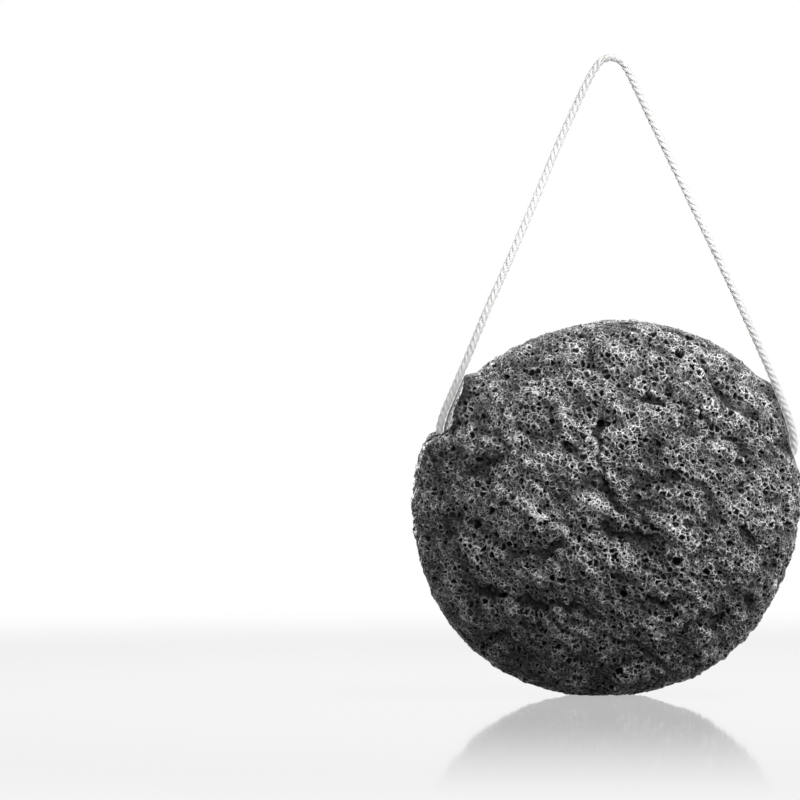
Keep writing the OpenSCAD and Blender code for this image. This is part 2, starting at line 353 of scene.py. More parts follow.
@dataclass(frozen=True)
class CellLayer:
    """Foam cells of one size that lie side by side, with walls between them.

    spacing is the distance between their middles. wall is half the width of the walls and bowl the width
    over which a cell deepens, as shares of the spacing. shallow is the depth of the flattest cell, as a
    share of the deepest one's. crest says where a wall starts to show and where it shows fully, as shares
    of half its width.
    """

    spacing: float
    wall: float
    bowl: float
    depth: float
    shallow: float = 1.0
    crest: Spot = (1.6, 0.4)
    offset: Point = (0.0, 0.0, 0.0)

    def hollow(self, tree: Tree, place: Wire) -> tuple[Wire, Wire]:
        """How far a place lies inside a cell, and on a wall.

        Args:
            tree: The tree that gets the nodes.
            place: The place on the bare form, in millimetres.

        Returns:
            The share of the deepest cell's depth, and 1 on a wall.
        """
        there = place + self.offset
        edge = tree.cells(there, self.spacing, Feature.EDGE)["Distance"]
        inside = edge.step(self.wall, self.wall + self.bowl)
        if self.shallow < 1:
            chance, _, _ = tree.cells(there, self.spacing, Feature.NEAREST)["Color"].parts()
            inside = inside * (chance * chance * (1 - self.shallow) + self.shallow)
        start, full = self.crest
        return inside, edge.step(self.wall * start, self.wall * full)


@dataclass(frozen=True)
class FoamGrain:
    """The foam's structure: its cells and pores, and the lumps and folds of its skin, in millimetres.

    warp is how far a place is pushed about, over lumps warp_size apart. lumps holds the size and the most
    height of each kind of lump. run is the way the lumps run and stretch how far they are drawn out along it.
    Folds start where their noise comes within fold_edge of its middle, in patches that fold_patch bounds.
    """

    cells: CellLayer = CellLayer(1.25, 0.07, 0.20, 0.62, shallow=0.06)
    fine_cells: CellLayer = CellLayer(0.62, 0.10, 0.34, 0.18, offset=(5.0, 43.0, 21.0))
    mid_pores: PoreLayer = PoreLayer(
        1.15, 0.16, 0.34, 0.08, 0.42, kept=0.7, lip=0.2, offset=(31.0, 7.0, 13.0)
    )
    deep_pores: PoreLayer = PoreLayer(
        5.6, 0.11, 0.18, 0.03, 1.4, kept=0.45, lip=0.05, offset=(11.0, 3.0, 37.0)
    )
    warp: float = 0.30
    warp_size: float = 1.2
    lip_height: float = 0.10
    lumps: tuple[Spot, ...] = ((3.4, 1.15), (1.7, 0.75))
    run: Point = (0.82, 0.0, -0.57)
    stretch: float = 0.55
    fold_size: float = 9.0
    fold_depth: float = 0.6
    fold_edge: float = 0.05
    fold_patch: Spot = (0.48, 0.6)
    patch_size: float = 10.8

    def warped(self, tree: Tree, place: Wire) -> Wire:
        """The place pushed about a little, so that no pore is quite round."""
        shift = tree.noise(place, self.warp_size)["Color"] - 0.5
        return place + shift * (2 * self.warp)

    def hollows(self, tree: Tree, place: Wire) -> dict[str, Wire]:
        """How far a place lies inside the pores of each size.

        Args:
            tree: The tree that gets the nodes.
            place: The place on the bare form, in millimetres.

        Returns:
            The share of the depth for each kind of hollow, and 1 on each kind of wall and lip, by name.
        """
        bent = self.warped(tree, place)
        found = {}
        found["cell"], found["wall"] = self.cells.hollow(tree, bent)
        found["fine cell"], found["fine wall"] = self.fine_cells.hollow(tree, bent)
        found["pore"], found["lip"] = self.mid_pores.hollow(tree, bent)
        found["deep pore"], _ = self.deep_pores.hollow(tree, bent)
        return found

    def lift(self, tree: Tree, place: Wire) -> Wire:
        """Height of the lumps, which run down to the right, in millimetres.

        Args:
            tree: The tree that gets the nodes.
            place: The place on the bare form, in millimetres.

        Returns:
            The height, which may be below 0.
        """
        along = place.dot(self.run)
        drawn = place - (along * (1 - self.stretch)).spread() * self.run
        height: Value = 0.0
        for size, most in self.lumps:
            height = (tree.noise(drawn, size, detail=1.0)["Fac"] - 0.5) * (2 * most) + height
        return height

    def folds(self, tree: Tree, place: Wire) -> Wire:
        """How deep a place lies in a fold of the skin, from 0 to 1.

        Args:
            tree: The tree that gets the nodes.
            place: The place on the bare form, in millimetres.

        Returns:
            The share of the most depth.
        """
        fold = tree.noise(place + 17.0, self.fold_size, detail=1.5)["Fac"] - 0.5
        patch = tree.noise(place + 91.0, self.patch_size, detail=0.0)["Fac"].step(*self.fold_patch)
        return fold.absolute().step(self.fold_edge, 0.0) * patch


@dataclass(frozen=True)
class FoamFinish:
    """Charcoal konjac foam: painted shade in its pores and cells, and pale walls painted as glints.

    A pair holds where a shade starts and where it is full. The light shares say how much each kind of wall
    and each glint lightens the foam as painted highlight, and the bump shares how much each kind of relief
    adds to the bump. The lumps' valleys, the creases and the slots beside the cord get painted shade.
    """

    # The pale wall colour is a painted highlight: it stands in for the glints on the walls' crests.
    wall: Point = (0.80, 0.80, 0.805)
    skin: Point = (0.026, 0.026, 0.0275)
    # The colour of painted shade at the bottoms of the pores and cells.
    pit_shade: Point = (0.003, 0.003, 0.0034)
    skin_roughness: float = 0.36
    pit_roughness: float = 0.85
    shine: float = 0.08
    glint: float = 0.6
    glint_roughness: float = 0.18
    # Where a cell's hollow starts and stops taking on the painted shade.
    cell_shade: Spot = (0.2, 0.85)
    tone: Spot = (0.25, 0.75)
    tone_size: float = 6.0
    tone_least: float = 0.4
    # Pale specks, painted as glints in the colour and also bumped.
    glint_speck: Spot = (0.42, 0.7)
    speck_size: float = 0.4
    # Lump heights paint the crests lighter and the valleys darker: painted shade, down to the least share in
    # the valleys.
    height: Spot = (-0.9, 1.0)
    valley_shade_least: float = 0.35
    # How much the lips, fine walls, crests and specks are lightened with painted glints, and how much painted
    # shade darkens the creases and slots.
    lip_light: float = 0.8
    fine_wall_light: float = 0.55
    crest_glint_light: float = 0.95
    glint_speck_light: float = 0.45
    # How much the painted shade in the creases and slots darkens the skin.
    crease_shade: float = 0.8
    bump: float = 1.0
    bump_depth: float = 0.2
    speck_bump: float = 0.4
    fine_cell_bump: float = 0.6
    lip_bump: float = 0.3
    grain: FoamGrain = field(default_factory=FoamGrain)

    def material(self) -> bpy.types.Material:
        """Builds the foam's material, which reads each point's place on the bare form.

        Returns:
            The material.
        """
        made = bpy.data.materials.new("charcoal_foam")
        tree = emptied(made)
        place = tree.attribute("rest")["Vector"]
        # The crease mark holds painted shade in the grooves and in the slots beside the cord.
        crease = tree.attribute("crease")["Fac"]
        found = self.grain.hollows(tree, place)
        # The pores and deep cells, which the colour fills with painted shade.
        shaded_pits = found["deep pore"].higher(found["pore"]).higher(found["cell"].step(*self.cell_shade))
        tone = tree.noise(place, self.tone_size, detail=3.0)["Fac"].step(*self.tone)
        # Specks that the colour paints as glints.
        glint_speck = tree.noise(place, self.speck_size)["Fac"].step(*self.glint_speck)
        # The lumps' crests are painted lighter and their valleys darker: painted shade.
        height = self.grain.lift(tree, place).step(*self.height)
        crest = found["wall"].higher(found["lip"] * self.lip_light)
        crest = crest.higher(found["fine wall"] * self.fine_wall_light)
        crest = crest * (tone * (1 - self.tone_least) + self.tone_least) * (1.0 - shaded_pits)
        # Painted glints on the crests and specks, less the painted shade of the valleys and creases.
        painted_light = crest * self.crest_glint_light + glint_speck * self.glint_speck_light
        painted_light = painted_light * (height + self.valley_shade_least) * (1.0 - crease * self.crease_shade)
        painted_light = painted_light.higher(0.0).lower(1.0)
        # The skin blends towards the pale wall colour: a painted highlight.
        skin = tree.blend(painted_light * painted_light, self.skin, self.wall)
        relief = glint_speck * self.speck_bump - found["fine cell"] * self.fine_cell_bump
        relief = relief + found["lip"] * self.lip_bump
        inputs = {
            # Painted shade in the pores and cells over the skin's colour.
            "Base Color": tree.blend(shaded_pits, skin, self.pit_shade),
            "Roughness": shaded_pits * (self.pit_roughness - self.skin_roughness) + self.skin_roughness,
            "Specular IOR Level": self.shine,
            "Coat Weight": crest * (1.0 - crease) * self.glint,
            "Coat Roughness": self.glint_roughness,
        }
        tree.surface(inputs, self.bump, self.bump_depth, relief)
        return made


@dataclass(frozen=True)
class CottonFinish:
    """White twisted cotton, with the fine yarns of each strand. Its sizes are in millimetres.

    A pair holds where a shade starts and where it is full. The darkening shares say how much each one
    darkens: the inward one is painted shade where a strand faces into the cord, the others are the yarn
    lines and the soil.
    """

    light: Point = (0.95, 0.945, 0.935)
    # The colour towards which painted shade between the strands, the yarn lines and the soil darken the
    # cotton.
    shade_and_soil: Point = (0.90, 0.895, 0.885)
    yarns: int = 7
    yarn_turn: float = 2.6
    ripple: float = 1.6
    ripple_size: float = 0.5
    soil: Spot = (0.35, 0.8)
    soil_size: float = 3.0
    inward: Spot = (0.2, 0.95)
    # Painted shade where a strand faces into the cord, between the strands.
    inward_shade: float = 0.75
    yarn_dark: float = 0.08
    soil_dark: float = 0.12
    fibre_size: float = 0.12
    yarn_bump: float = 0.5
    bump: float = 0.8
    bump_depth: float = 0.05
    roughness: float = 0.88
    sheen: float = 0.35
    sheen_roughness: float = 0.5
    glow: float = 0.4
    glow_colours: Point = (1.0, 0.95, 0.9)
    glow_depth: float = 0.3

    def material(self) -> bpy.types.Material:
        """Builds the cotton's material, which reads how far a point lies round and along its strand.

        Returns:
            The material.
        """
        made = bpy.data.materials.new("twisted_cotton")
        tree = emptied(made)
        across, up, _ = tree.attribute("around")["Vector"].parts()
        along = tree.attribute("along")["Fac"]
        inward = tree.attribute("inward")["Fac"].step(*self.inward)
        place = tree.add("ShaderNodeTexCoord")["Object"] * PER_MM
        turns = along * (PER_MM * FULL_TURN * self.yarns / self.yarn_turn)
        ripple = tree.noise(place, self.ripple_size)["Fac"] * self.ripple
        yarn = (up.arctan2(across) * self.yarns + turns + ripple).sine()
        soil = tree.noise(place, self.soil_size, detail=3.0)["Fac"].step(*self.soil)
        # Painted shade between the strands, with the yarn lines and the soil.
        shade = inward * self.inward_shade + (1.0 - yarn) * self.yarn_dark + soil * self.soil_dark
        fibre = tree.noise(place, self.fibre_size, detail=3.0, roughness=0.7)["Fac"]
        inputs = {
            "Base Color": tree.blend(shade.lower(1.0), self.light, self.shade_and_soil),
            "Roughness": self.roughness,
            "Sheen Weight": self.sheen,
            "Sheen Roughness": self.sheen_roughness,
            "Subsurface Weight": self.glow,
            "Subsurface Radius": self.glow_colours,
            "Subsurface Scale": self.glow_depth * MM,
        }
        tree.surface(inputs, self.bump, self.bump_depth, yarn * self.yarn_bump + fibre)
        return made


def mesh_object(name: str, points: np.ndarray, faces: Sequence[Sequence[int]] = (),
                edges: Sequence[Sequence[int]] = ()) -> bpy.types.Object:
    """Makes an object of points in millimetres and links it to the scene.

    Args:
        name: The object's name.
        points: Its points, one row each, in millimetres.
        faces: The point numbers of each face, counter-clockwise from outside.
        edges: The point numbers of each edge, where there are no faces.

    Returns:
        The new object, which lies at the origin.
    """
    mesh = bpy.data.meshes.new(name)
    mesh.from_pydata((np.asarray(points) * MM).tolist(), [list(e) for e in edges], [list(f) for f in faces])
    mesh.update()
    made = bpy.data.objects.new(name, mesh)
    bpy.context.scene.collection.objects.link(made)
    return made


def band_faces(count: int, rings: int) -> list[tuple[int, ...]]:
    """Faces between closed rings of points that follow one another.

    Args:
        count: Points in a ring.
        rings: The number of rings.

    Returns:
        The point numbers of each face.
    """
    return [
        (start + i, start + (i + 1) % count, start + (i + 1) % count + count, start + i + count)
        for start in range(0, (rings - 1) * count, count)
        for i in range(count)
    ]


def applied(thing: bpy.types.Object) -> bpy.types.Object:
    """Turns what an object's modifiers make into its own mesh and removes the modifiers.

    Args:
        thing: The object.

    Returns:
        The same object.
    """
    graph = bpy.context.evaluated_depsgraph_get()
    mesh = bpy.data.meshes.new_from_object(thing.evaluated_get(graph), depsgraph=graph)
    thing.modifiers.clear()
    old, thing.data = thing.data, mesh
    bpy.data.meshes.remove(old)
    mesh.name = thing.name
    return thing


def drop(thing: bpy.types.Object) -> None:
    """Removes a helper object and its mesh.

    Args:
        thing: The object.
    """
    mesh = thing.data
    bpy.data.objects.remove(thing)
    bpy.data.meshes.remove(mesh)


def grown(thing: bpy.types.Object, name: str, build: Callable[[Tree, dict[str, Wire]], Wire],
          sizes: Mapping[str, float | int]) -> bpy.types.Object:
    """Runs a geometry tree on an object and keeps the plain mesh that comes out.

    Args:
        thing: The object that the tree starts from.
        name: The tree's name.
        build: Adds the tree's nodes, given its inputs by name, and returns the geometry.
        sizes: The tree's named inputs and their values. A whole number makes a whole-number input.

    Returns:
        The same object with its new mesh.
    """
    group = bpy.data.node_groups.new(name, "GeometryNodeTree")
    faces = group.interface
    faces.new_socket("Geometry", in_out="INPUT", socket_type="NodeSocketGeometry")
    faces.new_socket("Geometry", in_out="OUTPUT", socket_type="NodeSocketGeometry")
    identifiers = {}
    for label, value in sizes.items():
        kind = "NodeSocketInt" if isinstance(value, int) else "NodeSocketFloat"
        identifiers[label] = faces.new_socket(label, in_out="INPUT", socket_type=kind).identifier
    tree = Tree(group)
    start = tree.add("NodeGroupInput")
    wires = {label: start[label] for label in ("Geometry", *sizes)}
    tree.add("NodeGroupOutput", {"Geometry": build(tree, wires)})
    modifier = thing.modifiers.new(name, "NODES")
    modifier.node_group = group
    for label, value in sizes.items():
        modifier[identifiers[label]] = value
    return applied(thing)


@dataclass
class Bore:
    """The bore for the cord, and a frame that runs along it."""

    left: Point = (-32.0, 0.0, -80.0)
    right: Point = (34.5, 0.0, -82.8)
    radius: float = 0.9

    @property
    def middle(self) -> np.ndarray:
        """The middle of the bore."""
        return (np.array(self.left) + np.array(self.right)) / 2

    @property
    def length(self) -> float:
        """The length of the bore."""
        return float(np.linalg.norm(np.array(self.right) - np.array(self.left)))

    @property
    def axes(self) -> np.ndarray:
        """Rows: along the bore to the right, backwards, and up across the bore.

        Returns:
            Three rows, each one unit long.
        """
        along = (np.array(self.right) - np.array(self.left)) / self.length
        back = np.array((0.0, 1.0, 0.0))
        return np.array((along, back, np.cross(along, back)))


@dataclass
class CordSizes:
    """Sizes of the twisted cord.

    turn is the length in which a strand goes round once. A loose fibre is at least fibre_least of its full
    length, leans up to fibre_lean radians, and bends through the points of fibre_bow. Fibres only stand above
    the height fibres_above, clear of the foam.
    """

    diameter: float = 1.6
    strands: int = 3
    strand_radius: float = 0.41
    turn: float = 4.7
    ring_gap: float = 0.22
    sides: int = 10
    fibres_per_mm: float = 7.0
    fibre_length: float = 0.75
    fibre_radius: float = 0.014
    fibres_above: float = -58.0
    fibre_least: float = 0.35
    fibre_lean: float = 0.5
    fibre_bow: tuple[Point, ...] = ((0, 0, 0), (0, 0.1, 0.45), (0, 0.75, 0.6))
    fibre_bends: int = 4
    fibre_sides: int = 3
    lump: float = 0.12
    lump_size: float = 1.2
    seed: int = 7


@dataclass
class HangingCord:
    """The cotton cord: the loop that shows, the run inside the foam, and the knot of its ends."""

    sizes: CordSizes = field(default_factory=CordSizes)
    bore: Bore = field(default_factory=Bore)
    knot_winds: int = 3
    knot_rounds: int = 2
    knot_play: float = 0.2
    knot_points: int = 160
    knot_fibres: float = 1.0
    route: tuple[Point, ...] = (
        (-32, 0, -80), (-33.3, 0, -79.7), (-34.4, 0, -79), (-35.1, 0, -77.9), (-35.4, 0, -76.6),
        (-35.2, 0, -75), (-34.4, 0, -72.4), (-33.2, 0, -69.6), (-32, 0, -66.8), (-29, 0, -59.8),
        (-25.4, 0, -51), (-21.8, 0, -43), (-16.1, 0, -29.8), (-10.5, 0, -16.4), (-7, 0, -8.8),
        (-4.4, 0, -3.4), (-3.1, 0, -1.2), (-1.9, 0, 0.2), (0, 0, 0.8), (1.9, 0, 0.2),
        (3.1, 0, -1.2), (4.3, 0, -3.4), (8.4, 0, -12), (14.2, 0, -24), (20, 0, -36),
        (25.8, 0, -48.2), (31.6, 0, -61), (34.2, 0, -67), (35.8, 0, -71), (36.9, 0, -74),
        (37.6, 0, -76.6), (37.9, 0, -79.4), (37.6, 0, -80.8), (36.9, 0, -81.9), (35.8, 0, -82.6),
        (34.5, 0, -82.8),
    )

    def smooth_route(self) -> np.ndarray:
        """The loop's centreline: a centripetal curve through the route's points, in millimetres.

        Returns:
            The points, one row each.
        """
        points = np.array(self.route, float)
        before = 2 * points[0] - points[1]
        after = 2 * points[-1] - points[-2]
        held = np.vstack((before, points, after))
        line = []
        for a, b, c, d in zip(held, held[1:], held[2:], held[3:]):
            knots = np.cumsum([0.0, *(np.linalg.norm(q - p) ** 0.5 for p, q in ((a, b), (b, c), (c, d)))])
            count = max(1, round(float(np.linalg.norm(c - b)) / self.sizes.ring_gap))
            for t in knots[1] + (knots[2] - knots[1]) * np.arange(count) / count:
                line.append(self._on_curve(t, knots, (a, b, c, d)))
        return np.array([*line, points[-1]])

    @staticmethod
    def _on_curve(t: float, knots: np.ndarray, held: Sequence[np.ndarray]) -> np.ndarray:
        """A point of the curve through the middle two of four points.

        Args:
            t: Place on the curve, between the knots of the middle two points.
            knots: The place on the curve of each point.
            held: The four points.

        Returns:
            The point.
        """
        level = list(held)
        for gap in (1, 2, 3):
            spans = zip(level, level[1:], knots, knots[gap:])
            if gap == 3:
                spans = zip(level, level[1:], knots[1:], knots[2:])
            level = [(p * (end - t) + q * (t - start)) / (end - start) for p, q, start, end in spans]
        return level[0]

    def knot_line(self) -> tuple[np.ndarray, np.ndarray]:
        """The knot's centreline round the bore, and for each point the direction away from its ring.

        Returns:
            The points, in millimetres, and the directions.
        """
        wind = self.sizes.diameter / 2 + self.knot_play / 2
        ring = self.sizes.diameter + self.knot_play + wind
        turn = np.linspace(0, FULL_TURN, self.knot_points, endpoint=False)
        round_a, wind_a = self.knot_rounds * turn, self.knot_winds * turn
        along, back, up = self.bore.axes
        out = np.cos(round_a)[:, None] * up - np.sin(round_a)[:, None] * back
        away = np.cos(wind_a)[:, None] * out - np.sin(wind_a)[:, None] * along
        return self.bore.middle + ring * out + wind * away, away

    def strand_tree(self, cotton: bpy.types.Material) -> Callable[[Tree, dict[str, Wire]], Wire]:
        """The tree that lays twisted strands along a line and sets loose fibres on them.

        Args:
            cotton: The material.

        Returns:
            The function that adds the tree's nodes.
        """

        def build(tree: Tree, inputs: dict[str, Wire]) -> Wire:
            """Adds the nodes and returns the cord's geometry.

            Args:
                tree: The tree that gets the nodes.
                inputs: The tree's inputs, by name.

            Returns:
                The geometry.
            """
            line = tree.add("GeometryNodeMeshToCurve", {"Mesh": inputs["Geometry"]})["Curve"]
            turned = {"Curve": line, "Normal": tree.named("across", "FLOAT_VECTOR")}
            line = tree.add("GeometryNodeSetCurveNormal", turned, mode="FREE")["Curve"]
            amount = {"Geometry": line, "Amount": inputs["Strands"]}
            copies = tree.add("GeometryNodeDuplicateElements", amount, domain="SPLINE")
            length = tree.add("GeometryNodeSplineParameter")["Length"]
            angle = inputs["Phase"] - length * FULL_TURN / inputs["Turn"]
            angle = angle + copies["Duplicate Index"] * FULL_TURN / inputs["Strands"]
            side = tree.add("GeometryNodeInputNormal")["Normal"]
            ahead = tree.add("GeometryNodeInputTangent")["Tangent"]
            over = ahead.cross(side)
            reach = side * angle.cosine().spread() + over * angle.sine().spread()
            strands = tree.stored(copies["Geometry"], "centre_way", reach)
            strands = tree.stored(strands, "along", length)
            strands = tree.moved(strands, reach * inputs["Offset"].spread())
            way = tree.add("GeometryNodeInputPosition")["Position"]
            ring = tree.ring(inputs["Sides"], inputs["Strand radius"])
            ring = tree.stored(ring, "around", way / inputs["Strand radius"].spread())
            tubes = tree.drawn(strands, ring)
            facing = tree.add("GeometryNodeInputNormal")["Normal"]
            centre = tree.named("centre_way", "FLOAT_VECTOR")
            # How far the skin faces into the cord, for the painted shade between the strands.
            tubes = tree.stored(tubes, "inward", 0.5 - facing.dot(centre) * 0.5)
            lumpy = tree.noise(way * PER_MM, self.sizes.lump_size)["Fac"] - 0.5
            tubes = tree.moved(tubes, facing * (lumpy * inputs["Lumps"]).spread())
            fuzz = self._fibres(tree, tubes, inputs)
            whole = tree.add("GeometryNodeJoinGeometry", {"Geometry": [tubes, fuzz]})["Geometry"]
            return tree.plain(whole, cotton)

        return build

    def _fibres(self, tree: Tree, tubes: Wire, inputs: dict[str, Wire]) -> Wire:
        """Loose cotton fibres that stand off the strands, clear of the foam.

        Args:
            tree: The tree that gets the nodes.
            tubes: The strands.
            inputs: The tree's inputs, by name.

        Returns:
            The fibres, as instances.
        """
        s, seed = self.sizes, inputs["Seed"]
        height = tree.add("GeometryNodeInputPosition")["Position"].parts()[2]
        above = height.above(inputs["Fibres above"])
        where = {"Mesh": tubes, "Selection": above, "Density": inputs["Fibre density"], "Seed": seed}
        spots = tree.add("GeometryNodeDistributePointsOnFaces", where)
        start, middle, end = s.fibre_bow
        ends = {"Resolution": s.fibre_bends, "Start": start, "Middle": middle, "End": end}
        bow = tree.add("GeometryNodeCurveQuadraticBezier", ends)["Curve"]
        hair = tree.drawn(bow, tree.ring(s.fibre_sides, inputs["Fibre thickness"]))
        low, high = (-s.fibre_lean, -s.fibre_lean, 0.0), (s.fibre_lean, s.fibre_lean, FULL_TURN)
        turn = self._random(tree, "FLOAT_VECTOR", low, high, seed)
        turns = {"Rotation": spots["Rotation"], "Rotate By": turn}
        turned = tree.add("FunctionNodeRotateRotation", turns, rotation_space="LOCAL")["Rotation"]
        length = self._random(tree, "FLOAT", s.fibre_least, 1.0, seed) * inputs["Fibre length"]
        copies = {
            "Points": spots["Points"], "Instance": hair, "Rotation": turned, "Scale": length.spread(),
        }
        return tree.add("GeometryNodeInstanceOnPoints", copies)["Instances"]

    @staticmethod
    def _random(tree: Tree, kind: str, low: Value, high: Value, seed: Wire) -> Wire:
        """A random value of a kind for each point, between two."""
        inputs = {"Min": low, "Max": high, "Seed": seed}
        return tree.add("FunctionNodeRandomValue", inputs, data_type=kind)["Value"]

    def twisted(self, name: str, line: np.ndarray, across: np.ndarray, cotton: bpy.types.Material, *,
                fibres_per_mm: float = 0.0, closed: bool = False, phase: float = 0.0,
                turn: float | None = None) -> bpy.types.Object:
        """Lays the twisted strands along a line.

        Args:
            name: The piece's name.
            line: Points of the centreline, in millimetres.
            across: For each point, a direction square to the line that the twist is counted from.
            cotton: The material.
            fibres_per_mm: Loose fibres for each millimetre of cord.
            closed: Whether the line runs back to its start.
            phase: Angle of the first strand at the start, in radians.
            turn: Length in which a strand goes round once, in millimetres, if not the cord's own.

        Returns:
            The cord's mesh object.
        """
        count = len(line)
        edges = [(i, (i + 1) % count) for i in range(count if closed else count - 1)]
        thing = mesh_object(name, line, edges=edges)
        attribute = thing.data.attributes.new("across", "FLOAT_VECTOR", "POINT")
        attribute.data.foreach_set("vector", np.asarray(across, np.float32).ravel())
        s = self.sizes
        around = FULL_TURN * s.strand_radius * s.strands * MM
        made = grown(thing, name, self.strand_tree(cotton), {
            "Strands": s.strands,
            "Strand radius": s.strand_radius * MM,
            "Offset": (s.diameter / 2 - s.strand_radius) * MM,
            "Turn": (turn or s.turn) * MM,
            "Phase": phase,
            "Sides": s.sides,
            "Lumps": s.lump * MM,
            "Fibre density": fibres_per_mm * PER_MM / around,
            "Fibre length": s.fibre_length * MM,
            "Fibre thickness": s.fibre_radius / s.fibre_length,
            "Fibres above": s.fibres_above * MM,
            "Seed": s.seed,
        })
        made.data.shade_smooth()
        return made

    def build(self, cotton: bpy.types.Material) -> list[bpy.types.Object]:
        """Args:
            cotton: The material.

        Returns:
            The three objects.
        """
        s = self.sizes
        line = self.smooth_route()
        length = float(np.linalg.norm(np.diff(line, axis=0), axis=1).sum())
        back = self.bore.axes[1]
        loop = self.twisted(
            "cord_loop", line, np.tile(back, (len(line), 1)), cotton, fibres_per_mm=s.fibres_per_mm
        )
        inside = self.bore.length
        turns = (length + inside) / s.turn * s.strands
        inner_turn = inside / ((round(turns) - length / s.turn * s.strands) / s.strands)
        run = np.linspace(self.bore.right, self.bore.left, round(inside / s.ring_gap))
        core = self.twisted(
            "cord_inside", run, np.tile(back, (len(run), 1)), cotton,
            phase=-length / s.turn * FULL_TURN, turn=inner_turn,
        )
        knot_points, away = self.knot_line()
        knot = self.twisted(
            "cord_knot_turns", knot_points, away, cotton, closed=True, fibres_per_mm=self.knot_fibres
        )
        for piece, node in ((loop, "hanging_loop"), (core, "threaded_cord"), (knot, "cord_knot")):
            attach(piece, "loop")
            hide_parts(node)
        tuple(line[0] * MM)
        LOG.info("cord: %.1f mm of loop and %.1f mm inside", length, inside)
        return [loop, core, knot]


@dataclass(frozen=True)
class Crease:
    """A crease in the dome, seen from the front. Its path runs along X and Z from the foam's middle.

    The path's points are shares of the foam's radius. dip is the depth of the wide dip along it, as a share
    of the deepest one's, and groove the depth of the sharp groove in its bottom, in millimetres.
    """

    path: tuple[Spot, ...]
    dip: float
    groove: float


CREASES = (
    Crease(
        ((-0.04, 0.50), (-0.05, 0.38), (-0.04, 0.22), (0.01, 0.07), (0.08, -0.02), (0.12, -0.01)), 1.0, 0.9
    ),
    Crease(((-0.74, -0.42), (-0.51, -0.44), (-0.38, -0.49), (-0.16, -0.49), (-0.05, -0.57)), 0.9, 0.9),
    Crease(((-0.47, -0.22), (-0.32, -0.22), (-0.21, -0.13)), 0.8, 0.8),
    Crease(((0.35, -0.65), (0.43, -0.58), (0.54, -0.60), (0.62, -0.57)), 0.7, 0.7),
    Crease(((0.12, 0.59), (0.30, 0.56), (0.33, 0.75)), 0.7, 0.6),
    Crease(((0.50, 0.77), (0.58, 0.59), (0.71, 0.51), (0.87, 0.50)), 0.75, 0.7),
    Crease(((0.34, 0.39), (0.67, 0.37), (0.73, 0.23)), 0.75, 0.7),
    Crease(((-0.15, -0.08), (0.01, -0.10), (0.15, -0.15), (0.24, -0.15)), 0.75, 0.7),
    Crease(((0.20, 0.21), (0.40, 0.16), (0.51, 0.10)), 0.6, 0.6),
    Crease(((-0.74, 0.18), (-0.62, 0.25), (-0.53, 0.29)), 0.6, 0.6),
    Crease(((0.11, -0.46), (0.34, -0.48)), 0.0, 0.6),
    Crease(((0.13, 0.07), (0.17, -0.06), (0.15, -0.15)), 0.0, 0.6),
    Crease(((0.70, -0.04), (0.74, -0.21)), 0.0, 0.6),
    Crease(((0.71, -0.44), (0.79, -0.52)), 0.0, 0.6),
    Crease(((-0.86, -0.01), (-0.76, -0.21), (-0.72, -0.30)), 0.0, 0.6),
    Crease(((0.0, -0.85), (0.14, -0.76), (0.27, -0.72)), 0.0, 0.6),
    Crease(((-0.72, -0.68), (-0.49, -0.63)), 0.0, 0.5),
)


def ramped(values: np.ndarray, start: float, end: float) -> np.ndarray:
    """Values that rise smoothly from 0 at start to 1 at end."""
    share = np.clip((values - start) / (end - start), 0, 1)
    return share * share * (3 - 2 * share)


def along_path(spots: np.ndarray, path: np.ndarray) -> tuple[np.ndarray, np.ndarray]:
    """Where spots lie beside a path of straight stretches.

    Args:
        spots: The spots, in a plane.
        path: The path's corners.

    Returns:
        For each spot its distance to the path, and the place beside it along the path, from 0 to 1.
    """
    lengths = np.linalg.norm(np.diff(path, axis=0), axis=1)
    nearest = np.full(spots.shape[:-1], np.inf)
    place = np.zeros(spots.shape[:-1])
    for start, end, length, before in zip(path, path[1:], lengths, np.cumsum(lengths) - lengths):
        way = (end - start) / length
        along = np.clip((spots - start) @ way, 0, length)
        gap = np.linalg.norm(spots - start - along[..., None] * way, axis=-1)
        closer = gap < nearest
        nearest = np.where(closer, gap, nearest)
        place = np.where(closer, (before + along) / lengths.sum(), place)
    return nearest, place


